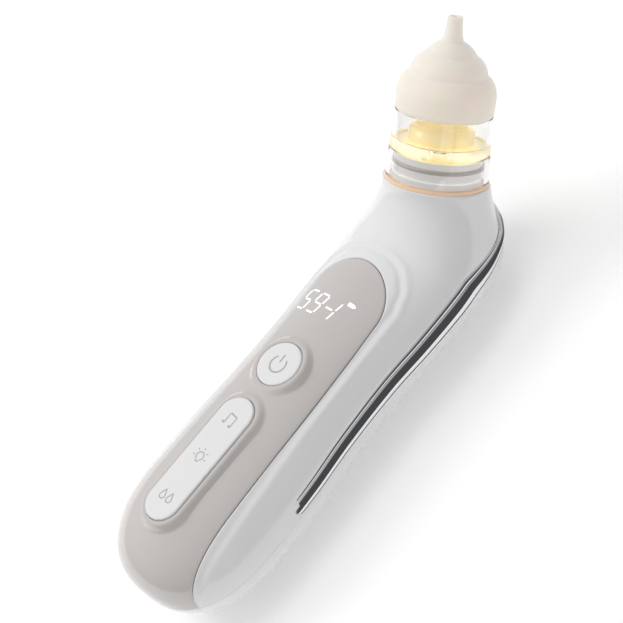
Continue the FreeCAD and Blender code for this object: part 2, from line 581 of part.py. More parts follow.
# ---------------------------------------------------------------- battery and charging inlet
cell_body = rod("cell_body", "battery_radius", "battery_length", ("battery_x", "0", "battery_z"), "X")
cell_cap = rod("cell_cap", "battery_cap_radius", "battery_cap_height",
               ("battery_x + battery_length", "0", "battery_z"), "X")
keep("battery_cell", fuse("battery_cell", cell_body, cell_cap))
tabs = []
for place, x in (("low", "battery_x - gap - tab_thickness"),
                 ("high", "battery_x + battery_length + battery_cap_height + gap")):
    tabs.append(block("battery_tab_" + place, (x, "-tab_half_width", "battery_z - tab_half_width"),
                      (x + " + tab_thickness", "tab_half_width", "battery_z + battery_radius")))
keep("battery_tabs", group("battery_tabs", *tabs))
cradle_block = block("cradle_block", ("battery_x + 1", "-cradle_half_width", "0"),
                     ("battery_x + battery_length - 1", "cradle_half_width", "battery_z - cradle_drop"))
cell_room = rod("cell_room", "battery_radius + seat_gap", "battery_length + 20",
                ("battery_x - 10", "0", "battery_z"), "X")
keep("battery_cradle", cut("battery_cradle", within("cradle_blank", cradle_block), cell_room))

inlet_case = inlet_bar("inlet_case", "inlet_half_width", "inlet_half_height", INLET_FACE, "inlet_length")
inlet_socket = inlet_bar("inlet_socket_room", "inlet_half_width - inlet_wall",
                         "inlet_half_height - inlet_wall", INLET_FACE + " - 1", "1 + inlet_socket")
tongue_low = (INLET_FACE + " + inlet_wall", "-inlet_half_width * 0.75", "inlet_z - tongue_half_height")
tongue_high = (INLET_FACE + " + inlet_length - inlet_wall", "inlet_half_width * 0.75",
               "inlet_z + tongue_half_height")
tongue = block("inlet_tongue", tongue_low, tongue_high)
keep("charge_inlet", fuse("charge_inlet", cut("inlet_shell", inlet_case, inlet_socket), tongue))
INLET_BOARD_TOP = "inlet_z - inlet_half_height - gap"
keep("inlet_board", within("inlet_board", block(
    "inlet_board_plate",
    (INLET_FACE, "-inlet_board_half_width", INLET_BOARD_TOP + " - inlet_board_height"),
    (INLET_FACE + " + inlet_length / 2 + inlet_board_length", "inlet_board_half_width", INLET_BOARD_TOP))))

# ---------------------------------------------------------------- vacuum pump
AXIS = ("0", "pump_z")
motor_can = rod("motor_can", "motor_radius", "motor_length", ("motor_x",) + AXIS, "X")
motor_bore = rod("motor_bore", "shaft_radius + running_gap", "motor_length + 2", ("motor_x - 1",) + AXIS, "X")
keep("pump_motor", cut("pump_motor", motor_can, motor_bore))
sleeve_x = "motor_x + sleeve_start"
sleeve_out = rod("sleeve_out", "motor_radius + sleeve", "sleeve_length", (sleeve_x,) + AXIS, "X")
sleeve_in = rod("sleeve_in", "motor_radius + gap", "sleeve_length", (sleeve_x,) + AXIS, "X")
keep("motor_sleeve", cut("motor_sleeve", sleeve_out, sleeve_in))
bracket_block = block("bracket_block", (sleeve_x + " + 1", "-bracket_half_width", "0"),
                      (sleeve_x + " + sleeve_length - 1", "bracket_half_width", "pump_z - bracket_drop"))
sleeve_room = rod("sleeve_room", "motor_radius + sleeve + gap", "motor_length", ("motor_x",) + AXIS, "X")
keep("motor_bracket", cut("motor_bracket", within("bracket_blank", bracket_block), sleeve_room))

shaft_length = "motor_length - shaft_tail + shaft_overhang"
keep("motor_shaft", rod("motor_shaft", "shaft_radius", shaft_length, ("motor_x + shaft_tail",) + AXIS, "X"))
eccentric_x = PUMP_X + " + eccentric_start"
eccentric_at = (eccentric_x,) + AXIS
eccentric_disc = rod("eccentric_disc", "eccentric_radius", "eccentric_length", eccentric_at, "X")
eccentric_bore = rod("eccentric_bore", "shaft_radius + gap / 2", "eccentric_length", eccentric_at, "X")
crank_pin = rod("crank_pin", "crank_pin_radius", "crank_pin_length + eccentric_length / 2",
                (eccentric_x + " + eccentric_length / 2", "0", "pump_z + crank_throw + shaft_radius"), "X")
keep("eccentric", fuse("eccentric", cut("eccentric_ring", eccentric_disc, eccentric_bore), crank_pin))

frame_out = rod("frame_out", "pump_radius", "frame_length", (PUMP_X,) + AXIS, "X")
frame_in = rod("frame_in", "pump_radius - pump_wall", "frame_length", (PUMP_X + " + pump_wall",) + AXIS, "X")
frame_hole = rod("frame_eye", "frame_hole", "frame_length", (PUMP_X + " - 1",) + AXIS, "X")
keep("pump_frame", cut("pump_frame", frame_out, frame_in, frame_hole))

yoke_plate = rod("yoke_plate", "yoke_radius", "yoke_height", (PUMP_X + " + yoke_start",) + AXIS, "X")
yoke_eye = rod("yoke_eye", "crank_throw + shaft_radius + crank_pin_radius + crank_clearance",
               "yoke_height * 3", (PUMP_X + " + yoke_start - yoke_height",) + AXIS, "X")
keep("pump_yoke", cut("pump_yoke", yoke_plate, yoke_eye))

diaphragm_disc = rod("diaphragm_disc", "pump_radius", "diaphragm_height", (DIAPHRAGM_X,) + AXIS, "X")
bellows = []
flap_wells = []
flaps = []
bellows_x = PUMP_X + " + yoke_start + yoke_height + gap"
bellows_length = "%s + diaphragm_height / 2 - (%s)" % (DIAPHRAGM_X, bellows_x)
flap_x = VALVE_X + " + valve_height - flap_height"
well_x = flap_x + " - gap"
port_x = VALVE_X + " - 1"
for number in range(3):
    angle = 120 * number
    y = "cup_circle * cos(%d)" % angle
    z = "pump_z + cup_circle * sin(%d)" % angle
    bellows.append(rod("bellows_%d" % number, "bellows_radius", bellows_length, (bellows_x, y, z), "X"))
    well = rod("flap_well_%d" % number, "flap_radius + seat_gap", "flap_height * 2", (well_x, y, z), "X")
    port = rod("flap_port_%d" % number, "flap_radius / 2", "valve_height * 2", (port_x, y, z), "X")
    flap_wells += [well, port]
    flaps.append(rod("flap_%d" % number, "flap_radius", "flap_height - gap", (flap_x, y, z), "X"))
keep("pump_diaphragm", fuse("pump_diaphragm", diaphragm_disc, *bellows))
valve_plate = rod("valve_plate", "pump_radius", "valve_height", (VALVE_X,) + AXIS, "X")
keep("pump_valve_plate", cut("pump_valve_plate", valve_plate, *flap_wells))
keep("pump_valve_flaps", group("pump_valve_flaps", *flaps))

cover_at = (COVER_X,) + AXIS
cover_dome = taper("cover_dome", "pump_radius", "pump_radius - pump_wall", "cover_height", cover_at, "X")
cover_room = taper("cover_room", "pump_radius - pump_wall", "pump_radius - 2 * pump_wall",
                   "cover_height - pump_wall", cover_at, "X")
cover_barbs = []
cover_bores = []
for place, z in (("inlet", "pump_z"), ("outlet", "pump_z - port_circle")):
    cover_barbs.append(rod("barb_" + place, "barb_radius", "barb_length + pump_wall / 2",
                           (COVER_END + " - pump_wall / 2", "0", z), "X"))
    cover_bores.append(rod("barb_bore_" + place, "barb_bore", "barb_length + 2 * pump_wall",
                           (COVER_END + " - 1.5 * pump_wall", "0", z), "X"))
keep("pump_cover", cut("pump_cover", fuse("cover_blank", cover_dome, *cover_barbs), cover_room, *cover_bores))


def bent_hose(name, radius):
    """From the pump's inlet along X, round a quarter turn, and up over the nozzle's spout."""
    low = rod(name + "_low", radius, "%s - hose_bend - (%s + hose_start)" % (ELBOW_X, COVER_END),
              (COVER_END + " + hose_start",) + AXIS, "X")
    bend = doc.addObject("Part::Torus", name + "_bend")
    bind(bend, Radius1="hose_bend", Radius2=radius, Angle3="90")
    put(bend, (ELBOW_X + " - hose_bend", "0", "pump_z + hose_bend"))
    turn = Rotation(Vector(0, 0, -1), Vector(1, 0, 0), Vector(0, -1, 0), "XYZ")
    bend.Placement = Placement(bend.Placement.Base, turn)
    rise_at = (ELBOW_X, "0", "pump_z + hose_bend")
    rise = rod(name + "_rise", radius, "hose_end_z - pump_z - hose_bend", rise_at)
    return fuse(name, low, bend, rise)


keep("suction_hose", cut("suction_hose", bent_hose("hose_outside", "barb_radius + hose_gap + hose_wall"),
                         bent_hose("hose_inside", "barb_radius + hose_gap")))
exhaust_at = (COVER_END + " + hose_start", "0", "pump_z - port_circle")
exhaust_length = "muffler_x - gap - (%s + hose_start)" % COVER_END
exhaust_out = rod("exhaust_out", "barb_radius + hose_gap + hose_wall", exhaust_length, exhaust_at, "X")
exhaust_in = rod("exhaust_in", "barb_radius + hose_gap", exhaust_length, exhaust_at, "X")
keep("exhaust_hose", cut("exhaust_hose", exhaust_out, exhaust_in))
keep("exhaust_muffler", within("exhaust_muffler", block(
    "muffler_block", ("muffler_x", "-muffler_half_width", "0"),
    ("muffler_x + muffler_length", "muffler_half_width", "muffler_top_z"))))

# ---------------------------------------------------------------- nozzle
# Suction spigot: a ribbed stub inside the collar, with a port that runs down to an elbow.
spigot_inside = "spigot_radius - spigot_wall"
groove_inside = "spigot_radius - groove_depth"
ring_low = "ring_height - ring_section - gap"
ring_high = "ring_height + ring_section + gap"
spigot_stub = turned("spigot_stub", [
    ("port_bore", "-elbow_drop"), ("port_radius", "-elbow_drop"), ("port_radius", "spigot_web_low"),
    (spigot_inside, "spigot_web_low"), (spigot_inside, "-wall - neck_drop"),
    ("spigot_neck", "-wall - neck_drop"), ("spigot_neck", "gap"), ("spigot_radius", "gap"),
    ("spigot_radius", "low_groove"), (groove_inside, "low_groove"),
    (groove_inside, "low_groove + low_groove_height"), ("spigot_radius", "low_groove + low_groove_height"),
    ("spigot_radius", ring_low), (groove_inside, ring_low), (groove_inside, ring_high),
    ("spigot_radius", ring_high), ("spigot_radius", "spigot_height"), (spigot_inside, "spigot_height"),
    (spigot_inside, "spigot_web_low + spigot_web"), ("port_radius", "spigot_web_low + spigot_web"),
    ("port_radius", "spigot_height"), ("port_bore", "spigot_height")])
on_nozzle(spigot_stub)
elbow = cut("elbow", ball("elbow_ball", "port_radius", (ELBOW_X, "0", ELBOW_Z)),
            ball("elbow_bore", "port_bore", (ELBOW_X, "0", ELBOW_Z)))
port_core = on_nozzle(rod("port_core", "port_bore", "elbow_drop"))
port_core.setExpression("Placement.Base.x", linked(ELBOW_X))
port_core.setExpression("Placement.Base.z", linked(ELBOW_Z))
spout = rod("spout", "barb_radius", "spout_length", (ELBOW_X, "0", ELBOW_Z), "-Z")
spout_core = rod("spout_core", "barb_bore", "spout_length * 2", (ELBOW_X, "0", ELBOW_Z), "-Z")
spigot_blank = fuse("spigot_blank", spigot_stub, elbow, spout)
keep("suction_spigot", cut("suction_spigot", spigot_blank, port_core, spout_core))

ring_band = doc.addObject("Part::Torus", "ring_band")
bind(ring_band, Radius1=groove_inside + " + ring_section + gap", Radius2="ring_section")
ring_seat = on_nozzle(ring_band)
ring_seat.setExpression("Placement.Base.x", linked(NOZZLE_X + " + ring_height * cos(nozzle_angle)"))
ring_seat.setExpression("Placement.Base.z", linked(NOZZLE_Z + " + ring_height * sin(nozzle_angle)"))
keep("spigot_o_ring", ring_seat)


def washer(label, inner, outer, low, high):
    """A flat ring on the nozzle's axis."""
    ring = turned(label, [(inner, low), (outer, low), (outer, high), (inner, high)])
    keep(label, on_nozzle(ring))


washer("port_gasket", "port_bore + 2 * gap", "port_radius + gap", "spigot_height + gap",
       "spigot_height + gap + gasket_height")
washer("light_board", "port_radius + 2 * gap", "light_board_radius", LED_BOARD_LOW,
       LED_BOARD_LOW + " + light_board_height")
washer("light_ring", "light_ring_inner", "light_board_radius", LIGHT_LOW, LIGHT_LOW + " + light_ring_height")
washer("cup_seal_ring", "spigot_radius + seat_gap", "seal_radius", "gap", "gap + seal_height")

leds = []
for number in range(6):
    angle = 60 * number
    at = ["led_circle * cos(%d) - led_side / 2" % angle, "led_circle * sin(%d) - led_side / 2" % angle,
          LED_BOARD_LOW + " + light_board_height + gap"]
    opposite = [at[0] + " + led_side", at[1] + " + led_side", at[2] + " + led_height"]
    leds.append(block("led_%d" % number, at, opposite))
keep("light_leds", on_nozzle(group("light_leds", *leds)))

# Collection cup: a clear skirt that slips over the spigot, a thick floor with a chimney, and a bowl.
CUP_LOW = "seal_height + 2 * gap"
SKIRT_BORE = "spigot_radius - groove_depth + 2 * (ring_section + gap) + running_gap"
FLOOR_TOP = "cup_floor + cup_floor_height"
LIP_OUT = "cup_lip_radius - tip_wall"
keep("collection_cup", on_nozzle(turned("collection_cup", [
    (SKIRT_BORE, CUP_LOW), ("cup_radius", CUP_LOW), ("cup_floor_radius", "cup_floor"),
    ("cup_lip_radius", "cup_lip"), (LIP_OUT, "cup_lip"), (LIP_OUT, "cup_top"),
    (LIP_OUT + " - cup_wall", "cup_top"), ("cup_lip_radius - cup_wall", "cup_lip - 1"),
    ("cup_floor_radius - cup_wall", FLOOR_TOP), ("chimney_radius", FLOOR_TOP),
    ("chimney_radius", "chimney_top"), ("chimney_bore", "chimney_top"),
    ("chimney_bore", "cup_floor"), (SKIRT_BORE, "cup_floor")])))

# Splash dome: a clear cap over the chimney, open at four notches round its foot.
DOME_LOW = FLOOR_TOP + " + gap"
dome_eave = DOME_LOW + " + dome_wall_height"
dome_inside = "dome_radius - dome_wall"
dome_body = turned("dome_body", [
    (dome_inside, DOME_LOW), ("dome_radius", DOME_LOW), ("dome_radius", dome_eave),
    ("dome_crown", dome_eave + " + dome_rise"), ("0", dome_eave + " + dome_rise"),
    ("0", dome_eave + " + dome_rise - dome_wall"), ("dome_crown", dome_eave + " + dome_rise - dome_wall"),
    (dome_inside, dome_eave + " - dome_wall / 2")], {2: ("dome_bow", 1), 6: ("dome_bow", -1)})
notches = []
for number, turn in enumerate((0, 90)):
    bar = block("notch_%d" % number, ("-dome_radius - 1", "-notch_half_width", DOME_LOW + " - 1"),
                ("dome_radius + 1", "notch_half_width", DOME_LOW + " + notch_height"))
    if turn:
        bar = block("notch_across_%d" % number, ("-notch_half_width", "-dome_radius - 1", DOME_LOW + " - 1"),
                    ("notch_half_width", "dome_radius + 1", DOME_LOW + " + notch_height"))
    notches.append(bar)
keep("splash_dome", on_nozzle(cut("splash_dome", dome_body, *notches)))

# Silicone tip: a stepped bulb that sleeves the cup's lip and ends in a thin tube.
TIP_LOW = "cup_lip + gap"
TIP_BORE = "cup_lip_radius - tip_wall + running_gap"
keep("silicone_tip", on_nozzle(turned("silicone_tip", [
    (TIP_BORE, TIP_LOW), ("cup_lip_radius", TIP_LOW), ("tip_radius", "tip_shoulder"),
    ("low_crease_radius", "low_crease"), ("high_crease_radius", "high_crease"),
    ("tube_base_radius", "tube_base"), ("tube_top_radius", "tube_top"), ("tube_bore", "tube_top"),
    ("tube_throat_radius", "tube_base - tip_wall / 2"),
    ("high_crease_radius - tip_wall", "high_crease - tip_wall / 2"),
    ("low_crease_radius - tip_wall", "low_crease - tip_wall / 2"), (TIP_BORE, "tip_shoulder")],
    {2: ("low_bulge", 1), 3: ("middle_bulge", 1), 4: ("high_bulge", 1), 5: ("tube_flare", -1)})))

# ---------------------------------------------------------------- check and write
doc.recompute()
for thing in doc.Objects:
    if "Invalid" in thing.State or "Error" in thing.State:
        raise RuntimeError("%s did not build: %s" % (thing.Name, thing.State))
for label, thing in kept.items():
    shape = thing.Shape
    if shape.isNull() or not shape.isValid() or not shape.Solids:
        raise RuntimeError("%s has no valid solid" % label)

os.makedirs("parts", exist_ok=True)
for label, thing in kept.items():
    thing.Shape.exportStep(os.path.join("parts", label + ".step"))
    print("%-22s solids %d  volume %9.1f" % (label, len(thing.Shape.Solids), thing.Shape.Volume))
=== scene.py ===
import math

import bmesh
import bpy
from mathutils import Matrix, Vector


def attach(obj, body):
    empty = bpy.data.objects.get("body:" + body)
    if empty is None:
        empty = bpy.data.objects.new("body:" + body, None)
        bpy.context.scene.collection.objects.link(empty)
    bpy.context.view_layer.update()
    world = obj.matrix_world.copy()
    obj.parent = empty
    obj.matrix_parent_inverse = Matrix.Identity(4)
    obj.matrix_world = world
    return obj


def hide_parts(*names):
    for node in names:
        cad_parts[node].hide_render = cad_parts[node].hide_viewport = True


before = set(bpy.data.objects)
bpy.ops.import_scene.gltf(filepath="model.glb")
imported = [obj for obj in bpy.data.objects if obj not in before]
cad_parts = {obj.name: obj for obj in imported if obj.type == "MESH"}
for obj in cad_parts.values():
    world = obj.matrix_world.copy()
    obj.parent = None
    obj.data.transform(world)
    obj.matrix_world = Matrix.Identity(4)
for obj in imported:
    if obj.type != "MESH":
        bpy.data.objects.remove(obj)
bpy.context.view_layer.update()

# ------------------------------------------------------------------ rear shell
# The back half of the housing, a tray moulded in gloss white ABS. It meets the front shell on one
# level parting line and is held by six screws driven from the back. Its lowest part is flat.
MM = 0.001
PIVOT_Z = 62.62          # the neck bends about a point this high, above the end of the handle
NECK_X = 55.0
BUTT_X, BUTT_LENGTH, BUTT_POWER, BUTT_MIDDLE = -63.9, 32.6, 2.4, 43.02
COLLAR_PLACE, COLLAR_ANGLE = 77.16, math.radians(49.47)
PARTING_Z, WALL = 18.25, 2.4
# place along the front, front radius and back radius from the pivot, half width, set back
SECTIONS = (
    (-31.3, 25.67, 63.32, 26.4, 0.0), (-12.0, 25.67, 63.42, 25.9, 0.0),
    (5.0, 25.67, 62.62, 24.5, 0.0), (25.0, 25.67, 62.02, 24.1, 0.0),
    (40.0, 25.67, 61.62, 25.0, 0.0), (55.0, 25.67, 61.12, 25.3, 0.0),
    (59.43, 25.2, 61.0, 24.8, 0.0), (63.87, 24.4, 67.0, 23.6, 0.0),
    (68.3, 23.6, 64.7, 21.0, 0.0), (72.73, 22.8, 57.8, 17.7, 0.0),
    (77.16, 21.98, 54.38, 16.2, -1.2),
)
PANEL_TOP_X, PANEL_TOP_RADIUS, PANEL_FLARE = 35.0, 15.3, 0.034
SHOULDER_PLACE = 61.0    # where the white surround of the panel hands over to the neck


def clamped(share):
    return min(max(share, 0.0), 1.0)


def eased(share):
    """A share that starts and stops gently."""
    return share * share * (3 - 2 * share)


def slopes(column):
    """How fast one column of the section table changes at each section."""
    found = [0.0]
    for low, high in zip(SECTIONS, SECTIONS[2:]):
        found.append((high[column] - low[column]) / (high[0] - low[0]))
    return found + [(SECTIONS[-1][column] - SECTIONS[-2][column]) / (SECTIONS[-1][0] - SECTIONS[-2][0])]


SLOPES = [None] + [slopes(column) for column in range(1, 5)]


def section(place):
    """Front radius, back radius, half width and set back at a place along the body."""
    index = 0
    while index < len(SECTIONS) - 2 and place > SECTIONS[index + 1][0]:
        index += 1
    low, high = SECTIONS[index], SECTIONS[index + 1]
    painted_glow_height = high[0] - low[0]
    t = clamped((place - low[0]) / painted_glow_height)
    numbers = []
    for column in range(1, 5):
        start, end = SLOPES[column][index] * painted_glow_height, SLOPES[column][index + 1] * painted_glow_height
        numbers.append((2 * t**3 - 3 * t**2 + 1) * low[column] + (t**3 - 2 * t**2 + t) * start
                       + (3 * t**2 - 2 * t**3) * high[column] + (t**3 - t**2) * end)
    if place < SECTIONS[0][0]:
        along = clamped((place - BUTT_X) / BUTT_LENGTH)
        shrink = (1 - (1 - along) ** BUTT_POWER) ** (1 / BUTT_POWER)
        numbers[0] = BUTT_MIDDLE + (numbers[0] - BUTT_MIDDLE) * shrink
        numbers[1] = BUTT_MIDDLE + (numbers[1] - BUTT_MIDDLE) * shrink
        numbers[2] *= shrink
    return numbers


def lean_at(place):
    return max(0.0, place - NECK_X) / (COLLAR_PLACE - NECK_X) * COLLAR_ANGLE


def on_body(place, angle):
    """A point on the housing, at an angle round its section: a quarter turn is the front."""
    near, far, half_width, setback = section(place)
    lean = lean_at(place)
    reach = (near + far) / 2 - (far - near) / 2 * math.sin(angle)
    down = Vector((math.sin(lean), 0, -math.cos(lean)))
    along = Vector((math.cos(lean), 0, math.sin(lean)))
    middle = Vector((min(place, NECK_X), half_width * math.cos(angle), PIVOT_Z))
    return middle + down * reach + along * setback


def panel_half_width(place):
    return PANEL_TOP_RADIUS + PANEL_FLARE * (PANEL_TOP_X - place)


def side_angle(place, across):
    """The angle at which the section is that far from the middle, on the front."""
    return math.acos(min(across / max(section(place)[2], 1e-6), 1.0))


# Behind the corner place, the panel wraps the whole butt down to the parting line.
corner_low, corner_high = -63.0, -35.0
for halving in range(40):
    corner_place = (corner_low + corner_high) / 2
    inside = panel_half_width(corner_place) < section(corner_place)[2]
    if inside and on_body(corner_place, side_angle(corner_place, panel_half_width(corner_place))).z > 18.3:
        corner_high = corner_place
    else:
        corner_low = corner_place


def edge_angle(place):
    """Where the panel's edge lies on a section."""
    place = max(place, corner_place)
    return side_angle(place, panel_half_width(place))


BUTT_ROWS, HANDLE_STEP = 30, 1.2
butt_places = [BUTT_X + BUTT_LENGTH * (1 - math.cos(math.pi / 2 * row / BUTT_ROWS))
               for row in range(BUTT_ROWS)]
handle_rows = round((PANEL_TOP_X - SECTIONS[0][0]) / HANDLE_STEP)
handle_places = [SECTIONS[0][0] + (PANEL_TOP_X - SECTIONS[0][0]) * row / handle_rows
                 for row in range(handle_rows + 1)]
places = sorted(butt_places + handle_places + [corner_place])
corner_row = places.index(corner_place)
# distances out from the panel's edge, close together where the lip is rounded
RIM_STEPS = (0.06, 0.10, 0.18, 0.32, 0.55, 0.95, 1.4, 1.9, 2.4, 2.9, 3.4, 3.9, 4.4, 5.0)
RIM_SCALE = 18.9
FLANK_COLUMNS, TURN_ROWS, FAN_COLUMNS, NECK_ROWS = 52, 16, 16, 30
top_width = section(PANEL_TOP_X)[2]
RIM_ACROSS = [top_width * math.cos(edge_angle(PANEL_TOP_X) - step / RIM_SCALE) - PANEL_TOP_RADIUS
              for step in RIM_STEPS]
FAN_RADIUS = PANEL_TOP_RADIUS + RIM_ACROSS[-1]


def half_grid(bm, rows, columns, place_vertex):
    """A grid whose vertex in a row and column is set on the point, and given the rise, for it."""
    rise = bm.verts.layers.float["rise"]
    grid = bmesh.ops.create_grid(bm, x_segments=columns, y_segments=rows, size=1)
    for vert in grid["verts"]:
        row, column = round((vert.co.y + 1) / 2 * rows), round((vert.co.x + 1) / 2 * columns)
        vert.co, vert[rise] = place_vertex(row, column)


def new_body():
    bm = bmesh.new()
    bm.verts.layers.float.new("rise")
    bm.verts.layers.float_vector.new("outward")
    return bm


def flank_angles(place):
    """Angles of the white columns on a handle section, from the panel's edge to the back."""
    start = edge_angle(place)
    joined = RIM_STEPS[0] * (1 - clamped((place - corner_place) / 2))
    rim = [start - (step - joined) / RIM_SCALE for step in RIM_STEPS]
    rest = [rim[-1] + (-math.pi / 2 - rim[-1]) * column / FLANK_COLUMNS
            for column in range(1, FLANK_COLUMNS + 1)]
    return rim + rest


def shoulder_angles(place):
    """The same for the sections level with the panel's round end, from the fan to the back."""
    start = side_angle(place, FAN_RADIUS)
    return [start + (-math.pi / 2 - start) * column / FLANK_COLUMNS for column in range(FLANK_COLUMNS + 1)]


def fan_place(row, share):
    """A point between the ring round the panel's end and the square corner of the shoulder."""
    turn = math.pi / 2 * row / (2 * TURN_ROWS)
    start = Vector((PANEL_TOP_X + FAN_RADIUS * math.sin(turn), FAN_RADIUS * math.cos(turn)))
    if row <= TURN_ROWS:
        end = Vector((PANEL_TOP_X + (SHOULDER_PLACE - PANEL_TOP_X) * row / TURN_ROWS, FAN_RADIUS))
    else:
        end = Vector((SHOULDER_PLACE, FAN_RADIUS * (2 - row / TURN_ROWS)))
    return start.lerp(end, share)


# how far out from the panel the crest runs: by degrees round its end, and by place along its sides
RIDGE_TURNS = ((-90, 3.0), (0, 2.9), (6, 3.0), (26, 4.3), (43, 6.0), (57, 6.8), (71, 6.5), (90, 5.7),
               (91, 5.7))
RIDGE_PLACES = ((-90, 3.6), (-49, 3.9), (-40, 3.8), (-21, 3.1), (-13, 2.7), (0, 2.3), (20, 2.5),
                (35, 2.9), (36, 2.9))


def from_table(table, at):
    for (low, start), (high, end) in zip(table, table[1:]):
        if at <= high:
            return start + (end - start) * eased(clamped((at - low) / (high - low)))
    return table[-1][1]


def surround_rise(place, angle):
    """The soft contour that follows the panel: a shallow valley, then a rounded crest."""
    across = section(place)[2] * math.cos(angle)
    if place <= PANEL_TOP_X:
        away = (edge_angle(place) - angle) * RIM_SCALE
        crest = from_table(RIDGE_PLACES, place)
        strength = clamped((place + 62) / 70)
    else:
        away = math.hypot(place - PANEL_TOP_X, across) - PANEL_TOP_RADIUS
        crest = from_table(RIDGE_TURNS, math.degrees(math.atan2(place - PANEL_TOP_X, across)))
        strength = 1.0
    if angle < -0.3:
        return 0.0
    valley = 0.34 * math.exp(-(((away - crest + 1.9) / 0.95) ** 2))
    return (0.27 * math.exp(-(((away - crest) / 1.0) ** 2)) - valley) * (0.35 + 0.65 * strength)


def lip(distance, depth=0.42, radius=0.36):
    """How far a rounded edge falls away, at a distance in from it."""
    if distance >= radius:
        return 0.0
    return depth * (1 - math.sqrt(max(0.0, 1 - (1 - distance / radius) ** 2)))


FAR_FROM_LIP = 9.0


def white_vertex(place, angle, distance=FAR_FROM_LIP):
    return on_body(place, angle), surround_rise(place, angle) - lip(distance)


def white_handle(bm, rows):
    def set_vertex(row, column):
        distance = RIM_STEPS[column] - RIM_STEPS[0] if column < len(RIM_STEPS) else FAR_FROM_LIP
        place = places[rows[0] + row]
        return white_vertex(place, flank_angles(place)[column], distance)
    half_grid(bm, rows[1] - rows[0], len(RIM_STEPS) + FLANK_COLUMNS - 1, set_vertex)


def white_shoulder(bm):
    def set_vertex(row, column):
        place = PANEL_TOP_X + (SHOULDER_PLACE - PANEL_TOP_X) * row / TURN_ROWS
        return white_vertex(place, shoulder_angles(place)[column])
    half_grid(bm, TURN_ROWS, FLANK_COLUMNS, set_vertex)


def white_surround(bm):
    def set_ring(row, column):
        turn = math.pi / 2 * row / (2 * TURN_ROWS)
        radius = PANEL_TOP_RADIUS + RIM_ACROSS[column]
        place = PANEL_TOP_X + radius * math.sin(turn)
        angle = side_angle(place, radius * math.cos(turn))
        return white_vertex(place, angle, RIM_STEPS[column] - RIM_STEPS[0])

    def set_fan(row, column):
        place, across = fan_place(row, column / FAN_COLUMNS)
        return white_vertex(place, side_angle(place, across))
    half_grid(bm, 2 * TURN_ROWS, len(RIM_STEPS) - 1, set_ring)
    half_grid(bm, 2 * TURN_ROWS, FAN_COLUMNS, set_fan)


NECK_ANGLES = [side_angle(SHOULDER_PLACE, FAN_RADIUS * column / TURN_ROWS) for column in range(TURN_ROWS)]
NECK_ANGLES += shoulder_angles(SHOULDER_PLACE)
NECK_TOP = COLLAR_PLACE - 0.34
# in from the collar's side and down from its face: the rounded corner, then the face to the bore
COLLAR_EDGE = ((0.02, 0.26), (0.10, 0.10), (0.26, 0.02), (0.50, 0.0), (1.3, 0.0), (2.3, 0.0), (3.35, 0.0))


def white_neck(bm):
    rows = NECK_ROWS + len(COLLAR_EDGE)
    axis = Vector((math.cos(COLLAR_ANGLE), 0, math.sin(COLLAR_ANGLE)))
    middle = (on_body(COLLAR_PLACE, math.pi / 2) + on_body(COLLAR_PLACE, -math.pi / 2)) / 2
    step = COLLAR_PLACE - NECK_TOP

    def set_vertex(row, column):
        angle = NECK_ANGLES[column]
        if row <= NECK_ROWS:
            return white_vertex(SHOULDER_PLACE + (NECK_TOP - SHOULDER_PLACE) * row / NECK_ROWS, angle)
        inward, down = COLLAR_EDGE[row - NECK_ROWS - 1]
        rim = on_body(COLLAR_PLACE, angle)
        shrink = min(1.0, (rim - on_body(NECK_TOP, angle)).length / step)
        return rim + (middle - rim).normalized() * inward - axis * down * shrink, 0.0
    half_grid(bm, rows, len(NECK_ANGLES) - 1, set_vertex)


def bisect(bm, at, normal, keep=None):
    """Cut along a plane; keep is "above" or "below" its normal, or None to keep both."""
    everything = bm.verts[:] + bm.edges[:] + bm.faces[:]
    bmesh.ops.bisect_plane(bm, geom=everything, dist=1e-4, plane_co=at, plane_no=normal,
                           clear_inner=keep == "above", clear_outer=keep == "below")


def close_half(bm):
    """Mirror the half body across its middle, join it, and turn its faces outwards."""
    everything = bm.verts[:] + bm.edges[:] + bm.faces[:]
    bmesh.ops.mirror(bm, geom=everything, axis="Y", merge_dist=1e-3)
    bmesh.ops.remove_doubles(bm, verts=bm.verts[:], dist=2e-3)
    bmesh.ops.dissolve_degenerate(bm, edges=bm.edges[:], dist=1e-4)
    bmesh.ops.recalc_face_normals(bm, faces=bm.faces[:])
    bm.normal_update()


def thicken(bm, wall):
    """Give an open skin its wall, then lift the outer face by each vertex's own rise."""
    rise, outward = bm.verts.layers.float["rise"], bm.verts.layers.float_vector["outward"]
    for vert in bm.verts:
        vert[outward] = vert.normal
    outer = bm.verts[:]
    made = bmesh.ops.extrude_face_region(bm, geom=bm.faces[:], use_keep_orig=True)
    for item in made["geom"]:
        if isinstance(item, bmesh.types.BMVert):
            item.co -= item[outward] * wall
    for vert in outer:
        vert.co += vert[outward] * vert[rise]
    bmesh.ops.recalc_face_normals(bm, faces=bm.faces[:])


SHARP = math.radians(38)


def finished(bm, name, body, slot, *nodes, sharp=SHARP):
    """Turn a mesh drawn in millimetres into a smooth-shaded piece that stands for CAD nodes."""
    bmesh.ops.scale(bm, vec=(MM, MM, MM), verts=bm.verts[:])
    bm.normal_update()
    for face in bm.faces:
        face.smooth = True
    for edge in bm.edges:
        edge.smooth = len(edge.link_faces) == 2 and edge.calc_face_angle(0.0) < sharp
    mesh = bpy.data.meshes.new(name)
    bm.to_mesh(mesh)
    bm.free()
    piece = bpy.data.objects.new(name, mesh)
    bpy.context.scene.collection.objects.link(piece)
    if nodes:
        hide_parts(*nodes)
    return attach(piece, body)


